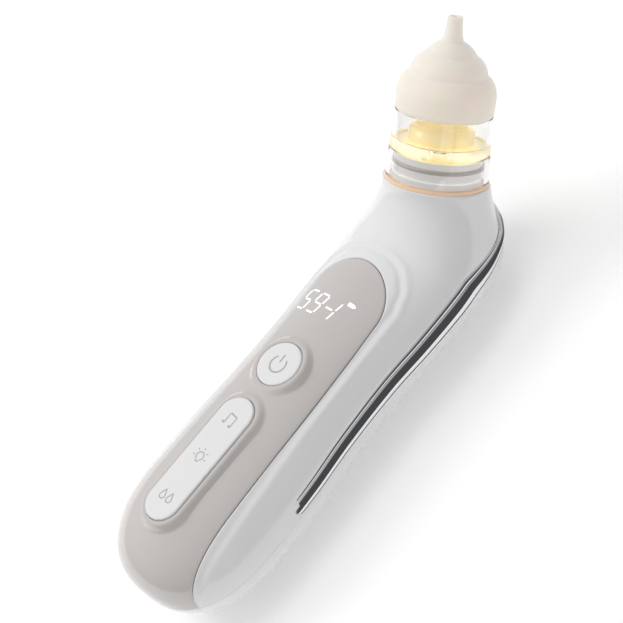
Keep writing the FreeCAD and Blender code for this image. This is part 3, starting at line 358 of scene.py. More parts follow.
def moulded_group():
    """Shader group for moulded surfaces: faint flow shading, polish marks and a fine peel."""
    group = bpy.data.node_groups.new("moulded_surface", "ShaderNodeTree")
    face = group.interface
    face.new_socket("Colour", in_out="INPUT", socket_type="NodeSocketColor")
    for title, low in (("Shading", 0.03), ("Roughness", 0.2), ("Polish", 0.05), ("Grain", 900.0)):
        face.new_socket(title, in_out="INPUT", socket_type="NodeSocketFloat").default_value = low
    face.new_socket("Colour", in_out="OUTPUT", socket_type="NodeSocketColor")
    face.new_socket("Roughness", in_out="OUTPUT", socket_type="NodeSocketFloat")
    face.new_socket("Height", in_out="OUTPUT", socket_type="NodeSocketFloat")
    nodes, links = group.nodes, group.links
    given, result = nodes.new("NodeGroupInput"), nodes.new("NodeGroupOutput")
    where = nodes.new("ShaderNodeTexCoord")
    flow = nodes.new("ShaderNodeTexNoise")
    flow.inputs["Scale"].default_value = 22.0
    flow.inputs["Detail"].default_value = 4.0
    links.new(where.outputs["Object"], flow.inputs["Vector"])
    grain = nodes.new("ShaderNodeTexNoise")
    grain.inputs["Detail"].default_value = 2.0
    links.new(where.outputs["Object"], grain.inputs["Vector"])
    links.new(given.outputs["Grain"], grain.inputs["Scale"])
    polish = nodes.new("ShaderNodeTexNoise")
    polish.inputs["Scale"].default_value = 140.0
    polish.inputs["Detail"].default_value = 6.0
    links.new(where.outputs["Object"], polish.inputs["Vector"])

    def math_node(kind, first, second):
        node = nodes.new("ShaderNodeMath")
        node.operation = kind
        for socket, value in zip(node.inputs, (first, second)):
            if isinstance(value, float):
                socket.default_value = value
            else:
                links.new(value, socket)
        return node.outputs[0]
    dark = math_node("MULTIPLY", flow.outputs["Fac"], given.outputs["Shading"])
    keep = math_node("SUBTRACT", 1.0, dark)
    shade = nodes.new("ShaderNodeMix")
    shade.data_type, shade.blend_type = "RGBA", "MULTIPLY"
    shade.inputs["Factor"].default_value = 1.0
    tint = nodes.new("ShaderNodeCombineColor")
    for channel in range(3):
        links.new(keep, tint.inputs[channel])
    links.new(given.outputs["Colour"], shade.inputs[6])
    links.new(tint.outputs[0], shade.inputs[7])
    links.new(shade.outputs[2], result.inputs["Colour"])
    swing = math_node("SUBTRACT", polish.outputs["Fac"], 0.5)
    marks = math_node("MULTIPLY", swing, given.outputs["Polish"])
    rough = math_node("ADD", given.outputs["Roughness"], marks)
    links.new(math_node("MAXIMUM", rough, 0.01), result.inputs["Roughness"])
    links.new(grain.outputs["Fac"], result.inputs["Height"])
    return group


moulded_surface = moulded_group()


def moulded(name, colour, roughness, shading=0.03, polish=0.05, grain=900.0, peel=0.004, **shader):
    """A material on the moulded surface group; shader gives the Principled node's own constants."""
    material = bpy.data.materials.new(name)
    material.use_nodes = True
    nodes, links = material.node_tree.nodes, material.node_tree.links
    bsdf = nodes["Principled BSDF"]
    group = nodes.new("ShaderNodeGroup")
    group.node_tree = moulded_surface
    for title, value in (("Colour", (*colour, 1.0)), ("Shading", shading), ("Roughness", roughness),
                         ("Polish", polish), ("Grain", grain)):
        group.inputs[title].default_value = value
    links.new(group.outputs["Colour"], bsdf.inputs["Base Color"])
    links.new(group.outputs["Roughness"], bsdf.inputs["Roughness"])
    bump = nodes.new("ShaderNodeBump")
    bump.inputs["Strength"].default_value = peel * 10
    bump.inputs["Distance"].default_value = 0.0001
    links.new(group.outputs["Height"], bump.inputs["Height"])
    links.new(bump.outputs["Normal"], bsdf.inputs["Normal"])
    for title, value in shader.items():
        bsdf.inputs[title.replace("_", " ")].default_value = value
    return material


gloss_white = moulded("gloss_white_abs", (0.83, 0.83, 0.84), 0.16, shading=0.025, polish=0.04,
                      peel=0.003, Coat_Weight=0.6, Coat_Roughness=0.05)

bm = new_body()
white_handle(bm, (0, len(places) - 1))
white_shoulder(bm)
white_neck(bm)
bisect(bm, (0, 0, PARTING_Z - 0.25), (0, 0, 1))
bisect(bm, (0, 0, PARTING_Z), (0, 0, 1), keep="below")
bisect(bm, (0, 0, 0), (0, 0, 1))
for vert in bm.verts:
    vert.co.z = max(vert.co.z, 0.0)
    vert[bm.verts.layers.float["rise"]] = -lip(max(0.0, PARTING_Z - vert.co.z), 0.12, 0.25)
close_half(bm)
thicken(bm, WALL)
rear_shell = finished(bm, "rear_shell_moulding", "housing", "shell_white", "rear_shell")
rear_shell.data.materials.append(gloss_white)

# ------------------------------------------------------------------ front shell
# The front half, the same gloss white ABS. It ends in the collar that carries the nozzle, and it
# has the opening for the panel, with a rounded lip and a soft contour moulded round it.
TRIM_LOW, TRIM_X, TRIM_END_HEIGHT = 18.35, -18.0, 4.6
TRIM_TURN_X, TRIM_TURN_HEIGHT = 62.0, 6.86   # deepest beside the neck
TRIM_HEEL_X, TRIM_BACK_HEIGHT = 84.0, 1.7    # a thin line round the back
TRIM_RISE = (TRIM_TURN_HEIGHT - TRIM_END_HEIGHT) / (TRIM_TURN_X - TRIM_X)
TRIM_FALL = (TRIM_TURN_HEIGHT - TRIM_BACK_HEIGHT) / (TRIM_HEEL_X - TRIM_TURN_X)
# where each stretch of the band's top edge starts, and which way it faces
TRIM_FACES = ((TRIM_X, (-TRIM_RISE, 0, 1)), (TRIM_TURN_X, (TRIM_FALL, 0, 1)), (TRIM_HEEL_X, (0, 0, 1)))


def trim_top(x):
    falling = TRIM_TURN_HEIGHT - TRIM_FALL * (x - TRIM_TURN_X)
    return TRIM_LOW + max(TRIM_BACK_HEIGHT, min(TRIM_END_HEIGHT + TRIM_RISE * (x - TRIM_X), falling))


bm = new_body()
white_handle(bm, (corner_row, len(places) - 1))
white_surround(bm)
white_shoulder(bm)
white_neck(bm)
for height, side in ((0.55, None), (0.05, "above")):
    bisect(bm, (0, 0, PARTING_Z + height), (0, 0, 1), keep=side)
for turn_x in (TRIM_TURN_X, TRIM_HEEL_X):
    bisect(bm, (turn_x, 0, 0), (1, 0, 0))
for lift in (0.32, 0.12, 0.08):
    for start_x, normal in TRIM_FACES:
        bisect(bm, (start_x, 0, trim_top(start_x) + lift), normal)
rise = bm.verts.layers.float["rise"]
for vert in bm.verts:
    above = vert.co.z - trim_top(vert.co.x)
    if vert.co.x > TRIM_X + 0.5 and above < 0.3:
        vert[rise] -= 0.9 if above < 0.1 else (0.14 if above < 0.2 else 0.0)
close_half(bm)
thicken(bm, WALL)
front_shell = finished(bm, "front_shell_moulding", "housing", "shell_white", "front_shell")
front_shell.data.materials.append(gloss_white)

# ------------------------------------------------------------------ control panel
# A thin injection-moulded skin in gloss warm grey, let into the front shell and glued there. It
# has a raised rim round each key, and the display shines through it.
PANEL_THICKNESS = 1.2
PANEL_INSETS = (0.06, 0.10, 0.18, 0.32, 0.6, 1.1, 1.8)
PANEL_MIDDLE_COLUMNS = 12
POWER_X, POWER_RADIUS, KEY_GAP = 10.0, 7.29, 0.15
MODE_LOW_X, MODE_HIGH_X, MODE_RADIUS = -40.5, -9.9, 6.25
RIM_TOP, RIM_FLAT, RIM_SPREAD = 37.5, 0.9, 3.0


def panel_shares(half_width):
    inner = (half_width - PANEL_INSETS[-1]) / half_width
    middle = [inner * column / PANEL_MIDDLE_COLUMNS for column in range(PANEL_MIDDLE_COLUMNS)]
    return middle + [1 - inset / half_width for inset in reversed(PANEL_INSETS)]


panel_columns = PANEL_MIDDLE_COLUMNS + len(PANEL_INSETS) - 1
bm = new_body()


def panel_lip(column):
    index = panel_columns - column
    return -lip(PANEL_INSETS[index] - PANEL_INSETS[0]) if index < len(PANEL_INSETS) else 0.0


def set_panel(row, column):
    place = places[row]
    edge = section(place)[2] * math.cos(edge_angle(place))
    blend = clamped((place - corner_place) / 2)
    share = panel_shares(max(edge, 4.0))[column] * blend + column / panel_columns * (1 - blend)
    return on_body(place, side_angle(place, edge * share)), panel_lip(column) * blend


def set_panel_end(row, column):
    turn = math.pi / 2 * row / (2 * TURN_ROWS)
    radius = PANEL_TOP_RADIUS * panel_shares(PANEL_TOP_RADIUS)[column]
    place = PANEL_TOP_X + radius * math.sin(turn)
    return on_body(place, side_angle(place, radius * math.cos(turn))), panel_lip(column)


half_grid(bm, len(places) - 1, panel_columns, set_panel)
half_grid(bm, 2 * TURN_ROWS, panel_columns, set_panel_end)
white_handle(bm, (0, corner_row))
bisect(bm, (0, 0, PARTING_Z + 0.35), (0, 0, 1))
bisect(bm, (0, 0, PARTING_Z + 0.05), (0, 0, 1), keep="above")
rise = bm.verts.layers.float["rise"]
for vert in bm.verts:
    if vert.co.x < corner_place:
        vert[rise] = -lip(max(0.0, vert.co.z - PARTING_Z - 0.05), 0.15, 0.3)
close_half(bm)
thicken(bm, PANEL_THICKNESS)
panel = finished(bm, "panel_moulding", "housing", "panel_greige", "control_panel")


def stadium(low_x, high_x, radius, steps):
    """Points round a bar with round ends, and the way outwards at each."""
    points = []
    for end_x, start in ((high_x, -90), (low_x, 90)):
        for step in range(steps + 1):
            turn = math.radians(start + 180 * step / steps)
            outward = Vector((math.cos(turn), math.sin(turn), 0))
            points.append((Vector((end_x, 0, 0)) + outward * radius, outward))
    return points


def front_z(x, y):
    return on_body(x, side_angle(x, abs(y))).z


def key_cutter(low_x, high_x, radius):
    cutter = bmesh.new()
    outline = [point for point, outward in stadium(low_x, high_x, radius, 40)]
    verts = [cutter.verts.new(point + Vector((0, 0, 25))) for point in outline]
    bmesh.ops.remove_doubles(cutter, verts=verts, dist=1e-4)
    base = cutter.faces.new(cutter.verts[:])
    made = bmesh.ops.extrude_face_region(cutter, geom=[base])
    raised = [item for item in made["geom"] if isinstance(item, bmesh.types.BMVert)]
    bmesh.ops.translate(cutter, verts=raised, vec=(0, 0, 25))
    bmesh.ops.scale(cutter, vec=(MM, MM, MM), verts=cutter.verts[:])
    bmesh.ops.recalc_face_normals(cutter, faces=cutter.faces[:])
    mesh = bpy.data.meshes.new("cutter")
    cutter.to_mesh(mesh)
    cutter.free()
    tool = bpy.data.objects.new("cutter", mesh)
    bpy.context.scene.collection.objects.link(tool)
    return tool


HOLE_RELIEF = 0.7
tools = [key_cutter(POWER_X, POWER_X, POWER_RADIUS + KEY_GAP + HOLE_RELIEF),
         key_cutter(MODE_LOW_X, MODE_HIGH_X, MODE_RADIUS + KEY_GAP + HOLE_RELIEF)]
for tool in tools:
    hole = panel.modifiers.new("hole", "BOOLEAN")
    hole.operation, hole.solver, hole.object = "DIFFERENCE", "EXACT", tool
holed = bpy.data.meshes.new_from_object(panel.evaluated_get(bpy.context.evaluated_depsgraph_get()))
panel.modifiers.clear()
bm = bmesh.new()
bm.from_mesh(holed)
for tool in tools:
    bpy.data.objects.remove(tool)
bmesh.ops.scale(bm, vec=(1 / MM, 1 / MM, 1 / MM), verts=bm.verts[:])


def swept(bm, stations, profile_at, closed_path=False):
    """A closed profile carried along stations, as one skin; open ends are drawn to a point."""
    count = len(stations)
    rows = count if closed_path else count - 1
    columns = len(profile_at(0))
    mesh = bmesh.new()
    grid = bmesh.ops.create_grid(mesh, x_segments=columns, y_segments=rows, size=1)
    for vert in grid["verts"]:
        row, column = round((vert.co.y + 1) / 2 * rows), round((vert.co.x + 1) / 2 * columns)
        vert.co = profile_at(row % count)[column % columns]
    bmesh.ops.remove_doubles(mesh, verts=mesh.verts[:], dist=1e-4)
    bmesh.ops.recalc_face_normals(mesh, faces=mesh.faces[:])
    part = bpy.data.meshes.new("swept")
    mesh.to_mesh(part)
    mesh.free()
    bm.from_mesh(part)
    bpy.data.meshes.remove(part)


def add_rim(bm, low_x, high_x, radius):
    """A raised rim: flat next to the key, then falling smoothly to the panel."""
    stations = stadium(low_x, high_x, radius + KEY_GAP, 28)

    def profile_at(row):
        point, outward = stations[row]
        ring = [point + Vector((0, 0, RIM_TOP - 1.6)), point + Vector((0, 0, RIM_TOP - 0.18))]
        for step in range(1, 15):
            out = RIM_SPREAD * (step / 14) ** 1.3
            share = 1 - eased(clamped((out - RIM_FLAT) / (RIM_SPREAD - RIM_FLAT)))
            at = point + outward * out
            low = front_z(at.x, at.y)
            crown = 0.0 if out > 0.25 else -0.05
            ring.append(Vector((at.x, at.y, low + (RIM_TOP + crown - low) * share)))
        last = ring[-1]
        ring.append(last - Vector((0, 0, 0.3)))
        return ring
    swept(bm, stations, profile_at, closed_path=True)


add_rim(bm, POWER_X, POWER_X, POWER_RADIUS)
add_rim(bm, MODE_LOW_X, MODE_HIGH_X, MODE_RADIUS)
bmesh.ops.scale(bm, vec=(MM, MM, MM), verts=bm.verts[:])
for face in bm.faces:
    face.smooth = True
for edge in bm.edges:
    edge.smooth = len(edge.link_faces) == 2 and edge.calc_face_angle(0.0) < SHARP
bm.to_mesh(panel.data)
bm.free()
panel.data.materials.append(moulded("gloss_warm_grey_panel", (0.60, 0.565, 0.545), 0.17, shading=0.03,
                                    polish=0.05, peel=0.003, Coat_Weight=0.8, Coat_Roughness=0.06))

# ------------------------------------------------------------------ display figures
# White seven-segment figures and a small charge mark. They are lit from the display module under
# the panel and seem to lie in its surface.
STROKE, FIGURE_HEIGHT, FIGURE_WIDTH, SLANT = 0.27, 7.0, 3.4, 0.22
FIGURE_BASE_X = 28.3
SEGMENTS = {  # (along the figure, across it) at both ends, as shares of its height and width
    "a": ((1, 0), (1, 1)), "b": ((1, 1), (0.5, 1)), "c": ((0.5, 1), (0, 1)), "d": ((0, 0), (0, 1)),
    "e": ((0.5, 0), (0, 0)), "f": ((1, 0), (0.5, 0)), "g": ((0.5, 0), (0.5, 1)),
}
FIGURES = (("acdfg", 11.4), ("abcdfg", 6.2), ("g", 1.1), ("bc", 0.4))


def stroke(bm, path, half_width, half_height, lift):
    """A raised line along points of the panel's or a key's face; lift gives a point's height."""
    stations = [Vector((x, y, lift(x, y))) for x, y in path]
    count = len(stations)
    sides = []
    for index in range(count):
        before, after = stations[max(index - 1, 0)], stations[min(index + 1, count - 1)]
        sides.append((after - before).cross(Vector((0, 0, 1))).normalized())

    def profile_at(row):
        ring = []
        share = 0.0 if row in (0, count - 1) else 1.0
        for step in range(8):
            turn = math.pi / 4 * step
            ring.append(stations[row] + sides[row] * math.cos(turn) * half_width * share
                        + Vector((0, 0, math.sin(turn) * half_height * share)))
        return ring
    swept(bm, stations, profile_at)


def straight(start, end, steps=8):
    """Points from start to end, the first two and the last two close together."""
    shares = [0.0, 0.01] + [step / steps for step in range(1, steps)] + [0.99, 1.0]
    return [(start[0] + (end[0] - start[0]) * t, start[1] + (end[1] - start[1]) * t) for t in shares]


bm = bmesh.new()
for segments, left_y in FIGURES:
    for segment in segments:
        ends = []
        for up, across in SEGMENTS[segment]:
            ends.append((FIGURE_BASE_X + FIGURE_HEIGHT * up,
                         left_y - FIGURE_WIDTH * across - SLANT * FIGURE_HEIGHT * (up - 0.5)))
        length = math.dist(*ends)
        short = 0.35 / length
        start = [low + (high - low) * short for low, high in zip(*ends)]
        end = [high + (low - high) * short for low, high in zip(*ends)]
        stroke(bm, straight(start, end), STROKE, 0.05, front_z)
stroke(bm, straight((36.0, -5.0), (36.0, -7.2), 4), 0.62, 0.05, front_z)
stroke(bm, straight((36.0, -7.2), (36.0, -7.75), 2), 0.3, 0.05, front_z)
figures = finished(bm, "display_figures", "housing", "display_lit")
lit_white = moulded("lit_white_figures", (0.95, 0.95, 0.95), 0.3, shading=0.02, Emission_Strength=0.55)
lit_white.node_tree.nodes["Principled BSDF"].inputs["Emission Color"].default_value = (1, 1, 1, 1)
figures.data.materials.append(lit_white)

# ------------------------------------------------------------------ chrome trim
# A band in chromed ABS that snaps into the joint between the shells. It runs along both sides and
# round the back of the neck, and its face is moulded in stepped ribs.
TRIM_SEAT, TRIM_PROUD, TRIM_END_PROUD, TRIM_RELIEF = 0.75, 1.4, 0.4, 1.6
# share of the height from the lower edge, and level: 1 is the proudest, 0 is TRIM_RELIEF below it
TRIM_PROFILE = (
    (0.0, -9), (0.0, 0.55), (0.03, 0.76), (0.08, 0.88), (0.13, 0.90), (0.17, 0.84), (0.19, 0.74),
    (0.21, 0.80), (0.25, 0.94), (0.32, 1.0), (0.39, 1.0), (0.45, 0.96), (0.51, 0.86), (0.58, 0.73),
    (0.65, 0.60), (0.71, 0.49), (0.75, 0.40), (0.765, 0.28), (0.785, 0.22), (0.805, 0.28),
    (0.84, 0.36), (0.89, 0.36), (0.94, 0.28), (0.98, 0.14), (1.0, 0.0), (1.0, -9),
)
HEEL_PLACE = 62.0   # the back of the neck is lowest just before this place


def side_point(station, z):
    """Where the body is at height z: beside the handle, or past NECK_X, round the back of the neck."""
    place = station
    if station > NECK_X:
        low, high = NECK_X, COLLAR_PLACE
        for halving in range(30):
            middle = (low + high) / 2
            near, far, half_width, setback = section(middle)
            lean = lean_at(middle)
            if PIVOT_Z - far * math.cos(lean) + setback * math.sin(lean) > z and middle > HEEL_PLACE:
                high = middle
            else:
                low = middle
        place = NECK_X + (low - NECK_X) * math.sin(min(station - NECK_X, 1.0) * math.pi / 2)
    near, far, half_width, setback = section(place)
    lean = lean_at(place)
    reach = (PIVOT_Z - z + setback * math.sin(lean)) / math.cos(lean)
    sine = ((near + far) / 2 - reach) / ((far - near) / 2)
    return on_body(place, math.asin(min(max(sine, -1.0), 1.0)))


def outward_at(station, z):
    step = 0.004 if station > NECK_X else 0.2
    before, after = side_point(station - step, z), side_point(min(station + step, NECK_X + 1), z)
    along = after - before
    if station >= NECK_X + 1:
        return Vector((1, 0, 0))
    return Vector((-along.y, along.x, 0)).normalized()


END_ROWS, SIDE_ROWS, BACK_ROWS = 10, 60, 44
end_stations = [TRIM_X - TRIM_END_HEIGHT / 2 * math.cos(math.pi / 2 * row / END_ROWS)
                for row in range(END_ROWS)]
side_stations = [TRIM_X + (NECK_X - TRIM_X) * row / SIDE_ROWS for row in range(SIDE_ROWS)]
back_stations = [NECK_X + row / BACK_ROWS for row in range(BACK_ROWS + 1)]
half_path = end_stations + side_stations + back_stations


def trim_ring(index):
    """The band's profile at one station of the half path."""
    station = half_path[index]
    middle_x = side_point(station, TRIM_LOW + 3).x
    low, high = TRIM_LOW, trim_top(middle_x)
    if station < TRIM_X:
        half = math.sqrt(max(0.0, (TRIM_END_HEIGHT / 2) ** 2 - (TRIM_X - station) ** 2))
        low, high = TRIM_LOW + TRIM_END_HEIGHT / 2 - half, TRIM_LOW + TRIM_END_HEIGHT / 2 + half
    swell = clamped((middle_x - SECTIONS[0][0]) / (NECK_X - SECTIONS[0][0]))
    proud = TRIM_END_PROUD + (TRIM_PROUD - TRIM_END_PROUD) * swell
    roundness = min(1.0, (high - low) / TRIM_END_HEIGHT) ** 0.5
    ring = []
    for share, out in TRIM_PROFILE:
        z = low + (high - low) * share
        depth = max(-TRIM_SEAT, proud - (1 - out) * TRIM_RELIEF * roundness)
        ring.append(side_point(station, z) + outward_at(station, z) * depth)
    return ring


rings = [trim_ring(index) for index in range(len(half_path))]
mirrored = [[Vector((p.x, -p.y, p.z)) for p in ring] for ring in reversed(rings[:-1])]
bm = bmesh.new()
both = rings + mirrored
swept(bm, both, lambda row: both[row])
trim = finished(bm, "trim_band", "housing", "chrome_trim", "chrome_trim", sharp=math.radians(50))
chrome = moulded("bright_chrome", (0.80, 0.80, 0.81), 0.07, shading=0.05, polish=0.06, grain=500.0,
                 peel=0.002, Metallic=1.0)
trim.data.materials.append(chrome)

# ------------------------------------------------------------------ keys
# Two satin white ABS keys with rounded top edges. The round one carries a raised grey power mark,
# the long one three: a tune, a lamp and drops. Flanges hold them under the panel.
FLANGE_LOW, FLANGE_WIDTH, FLANGE_HEIGHT = 33.2, 0.95, 0.6
POWER_TOP, MODE_TOP, KEY_EDGE, MARK = 37.75, 38.1, 0.55, 0.10


def add_key(bm, low_x, high_x, radius, top):
    """A key's skin from the flange to the middle of its top, as rings drawn in and up."""
    flange_top = FLANGE_LOW + FLANGE_HEIGHT
    rings = [(FLANGE_WIDTH, FLANGE_LOW), (FLANGE_WIDTH, flange_top), (0.0, flange_top), (0.0, top - KEY_EDGE)]
    for step in range(1, 7):
        turn = math.pi / 2 * step / 6
        rings.append((-KEY_EDGE * (1 - math.cos(turn)), top - KEY_EDGE * (1 - math.sin(turn))))
    for share in (0.2, 0.5, 0.8, 1.0):
        rings.append((-KEY_EDGE - (radius - KEY_EDGE) * share, top + 0.04 * math.sin(share * math.pi / 2)))
    rings.append((-radius, FLANGE_LOW))
    stations = stadium(low_x, high_x, 0.0, 32)

    def profile_at(row):
        point, outward = stations[row]
        return [point + outward * max(radius + out, 0.0) + Vector((0, 0, z)) for out, z in rings]
    swept(bm, stations, profile_at, closed_path=True)


def arc(centre_x, centre_y, radius, start, end, steps=18):
    """Points round an arc; angles in degrees from the way to the nozzle."""
    between = [start + (end - start) * step / steps for step in range(1, steps)]
    turns = [math.radians(angle) for angle in (start, start + 0.5, *between, end - 0.5, end)]
    return [(centre_x + radius * math.cos(turn), centre_y + radius * math.sin(turn)) for turn in turns]


def power_level(x, y):
    return POWER_TOP + 0.02


def mode_level(x, y):
    return MODE_TOP + 0.02


def colour_marks(key, skin_faces):
    """Two slots: white for the key's own faces, grey for the marks added after them."""
    key.data.materials.append(key_white)
    key.data.materials.append(mark_grey)
    for face in key.data.polygons[skin_faces:]:
        face.material_index = 1


mark_grey = moulded("pale_grey_mark", (0.50, 0.50, 0.50), 0.4, shading=0.04, polish=0.05)
key_white = moulded("satin_white_key", (0.84, 0.84, 0.84), 0.33, shading=0.02, polish=0.04,
                    grain=1600.0, peel=0.02)

bm = bmesh.new()
add_key(bm, POWER_X, POWER_X, POWER_RADIUS, POWER_TOP)
skin_faces = len(bm.faces)
stroke(bm, arc(POWER_X - 0.3, 0, 2.75, 42, 318, 30), 0.32, MARK, power_level)
stroke(bm, straight((POWER_X + 0.4, 0), (POWER_X + 3.1, 0)), 0.32, MARK, power_level)
power_key = finished(bm, "power_key_cap", "power_key", "key_white", "power_button", sharp=math.radians(50))
colour_marks(power_key, skin_faces)

bm = bmesh.new()
add_key(bm, MODE_LOW_X, MODE_HIGH_X, MODE_RADIUS, MODE_TOP)
skin_faces = len(bm.faces)
TUNE_X, LAMP_X, DROPS_X = -11.4, -25.2, -39.2
stroke(bm, straight((TUNE_X - 1.4, 1.3), (TUNE_X + 1.8, 1.3)), 0.22, MARK, mode_level)
stroke(bm, straight((TUNE_X - 1.8, -1.7), (TUNE_X + 1.4, -1.7)), 0.22, MARK, mode_level)
stroke(bm, straight((TUNE_X + 1.8, 1.3), (TUNE_X + 1.4, -1.7)), 0.28, MARK, mode_level)
for dot_x, dot_y in ((TUNE_X - 1.5, 1.75), (TUNE_X - 1.9, -1.25)):
    stroke(bm, straight((dot_x, dot_y - 0.5), (dot_x, dot_y + 0.5), 4), 0.42, MARK, mode_level)
stroke(bm, arc(LAMP_X + 0.4, 0, 1.35, -150, 150, 22), 0.22, MARK, mode_level)
stroke(bm, straight((LAMP_X - 1.3, -0.7), (LAMP_X - 1.3, 0.7), 4), 0.24, MARK, mode_level)
for turn in (-100, -50, 0, 50, 100):
    ray_x, ray_y = math.cos(math.radians(turn)), math.sin(math.radians(turn))
    ends = [(LAMP_X + 0.4 + ray_x * far, ray_y * far) for far in (2.15, 2.75)]
    stroke(bm, straight(*ends, 4), 0.2, MARK, mode_level)
for drop_y in (1.5, -1.5):
    stroke(bm, arc(DROPS_X - 0.6, drop_y, 0.95, 60, 300, 16), 0.22, MARK, mode_level)
    for side in (1, -1):
        tip_at, foot = (DROPS_X + 1.6, drop_y), (DROPS_X - 0.12, drop_y + side * 0.84)
        stroke(bm, straight(tip_at, foot, 4), 0.22, MARK, mode_level)
mode_key = finished(bm, "mode_key_cap", "mode_key", "key_white", "mode_key", sharp=math.radians(50))
colour_marks(mode_key, skin_faces)

# ------------------------------------------------------------------ collection cup
# Clear copolyester, moulded in one: a skirt that slips over the spigot, a thick floor with a
# chimney, and a bowl whose lip carries the tip. The ring light below it lights the floor; that
# warm glow is painted in, as a yellow tint and emission on the floor's faces.
COLLAR_X, COLLAR_Z = 83.24, 36.90
NOZZLE = (Matrix.Translation(Vector((COLLAR_X, 0, COLLAR_Z)))
          @ Matrix.Rotation(math.pi / 2 - COLLAR_ANGLE, 4, "Y"))
TURN_STEPS = 96


def turned(bm, profile, steps=TURN_STEPS):
    """A closed profile of (radius, height) turned about the nozzle's axis."""
    ring = bmesh.new()
    verts = [ring.verts.new((radius, 0, height)) for radius, height in profile]
    edges = [ring.edges.new((first, second)) for first, second in zip(verts, verts[1:] + verts[:1])]
    bmesh.ops.spin(ring, geom=verts + edges, cent=(0, 0, 0), axis=(0, 0, 1), angle=2 * math.pi, steps=steps,
                   use_merge=True)
    bmesh.ops.remove_doubles(ring, verts=ring.verts[:], dist=1e-4)
    bmesh.ops.dissolve_degenerate(ring, edges=ring.edges[:], dist=1e-5)
    bmesh.ops.recalc_face_normals(ring, faces=ring.faces[:])
    bmesh.ops.transform(ring, matrix=NOZZLE, verts=ring.verts[:])
    part = bpy.data.meshes.new("turned")
    ring.to_mesh(part)
    ring.free()
    bm.from_mesh(part)
    bpy.data.meshes.remove(part)


def bulge(start, end, radius, steps=14, inward=False):
    """Points after start, up to end, on an arc of that radius that bellies out or in."""
    start, end = Vector(start), Vector(end)
    chord = end - start
    side = Vector((chord.y, -chord.x)).normalized() * (-1 if inward else 1)
    rise = math.sqrt(radius**2 - (chord.length / 2) ** 2)
    centre = (start + end) / 2 - side * rise
    points = []
    for step in range(1, steps + 1):
        spoke = (start - centre).lerp(end - centre, step / steps).normalized() * radius
        points.append(tuple(centre + spoke))
    return points


def nozzle_height(nodes, links):
    """Shader nodes that give a point's height above the collar's face, in metres."""
    where = nodes.new("ShaderNodeTexCoord")
    mapping = nodes.new("ShaderNodeMapping")
    mapping.vector_type = "POINT"
    to_collar = COLLAR_X * math.cos(COLLAR_ANGLE) + COLLAR_Z * math.sin(COLLAR_ANGLE)
    mapping.inputs["Location"].default_value = (-to_collar * MM, 0, 0)
    mapping.inputs["Rotation"].default_value = (0, COLLAR_ANGLE, 0)
    links.new(where.outputs["Object"], mapping.inputs["Vector"])
    split = nodes.new("ShaderNodeSeparateXYZ")
    links.new(mapping.outputs["Vector"], split.inputs["Vector"])
    return split.outputs["X"]


CUP_PROFILE = (
    (13.85, 1.1), (15.2, 1.1), (15.44, 1.2), (15.5, 1.4), (15.06, 9.4), (14.5, 20.85), (14.3, 21.05),
    (13.2, 21.05), (13.2, 25.8), (13.0, 26.0), (11.9, 26.0), (11.7, 25.8), (13.0, 20.05),
    (13.50, 12.9), (13.1, 12.4), (4.0, 12.4), (3.6, 12.8), (3.6, 17.0), (2.2, 17.0), (2.2, 9.4),
    (13.5, 9.4), (13.85, 9.0),
)
bm = bmesh.new()
turned(bm, CUP_PROFILE)
cup = finished(bm, "clear_cup", "cup", "cup_clear", "collection_cup", sharp=math.radians(32))
clear = moulded("clear_copolyester", (0.94, 0.94, 0.945), 0.02, shading=0.01, polish=0.01, peel=0.001,
                Transmission_Weight=1.0, IOR=1.46)
# Painted glow: the floor's yellow tint and emission stand in for the ring light shining up through it.
painted_glow_floor = moulded("clear_floor_painted_glow", (1.0, 0.93, 0.72), 0.12, shading=0.04, polish=0.1, peel=0.01,
                    Transmission_Weight=0.6, IOR=1.46, Emission_Strength=0.20)
painted_glow_floor.node_tree.nodes["Principled BSDF"].inputs["Emission Color"].default_value = (1.0, 0.80, 0.36, 1)
cup.data.materials.append(clear)
cup.data.materials.append(painted_glow_floor)
# The floor's faces, 9.0 to 12.7 above the collar's face, take the painted-glow material.
to_nozzle = (Matrix.Scale(MM, 4) @ NOZZLE).inverted()
for face in cup.data.polygons:
    at = to_nozzle @ face.center
    if 9.0 < at.z < 12.7 and math.hypot(at.x, at.y) > 4.2:
        face.material_index = 1

# ------------------------------------------------------------------ splash dome
# A clear cap over the chimney that keeps liquid out of the port. Rings moulded in its crown
# scatter the light; its warm shine, like lit water, is painted in as a yellow tint and emission.
bm = bmesh.new()
DOME_OUT = [(9.7, 12.45), (9.7, 16.2)] + bulge((9.7, 16.2), (1.0, 19.5), 17.0, 40)
DOME_IN = [(1.0, 18.5)] + bulge((1.0, 18.5), (8.7, 15.85), 17.0, 20, inward=True)
rippled = []
for radius, height in DOME_OUT:
    swing = 0.11 * math.cos(radius * 4.1) if 0.9 < radius < 9.2 else 0.0
    rippled.append((radius, height + swing))
turned(bm, rippled + [(0.0, 19.5), (0.0, 18.5)] + DOME_IN + [(8.7, 12.45)])
dome = finished(bm, "rippled_dome", "cup", "cup_clear", "splash_dome", sharp=math.radians(60))
# Painted glow: the yellow tint and emission stand in for the ring light shining through the dome.
painted_glow_dome = moulded("clear_dome_painted_glow", (1.0, 0.94, 0.76), 0.05, shading=0.03, polish=0.04, peel=0.004,
                   Transmission_Weight=0.5, IOR=1.46, Emission_Strength=0.20)
painted_glow_dome.node_tree.nodes["Principled BSDF"].inputs["Emission Color"].default_value = (1.0, 0.82, 0.40, 1)
dome.data.materials.append(painted_glow_dome)
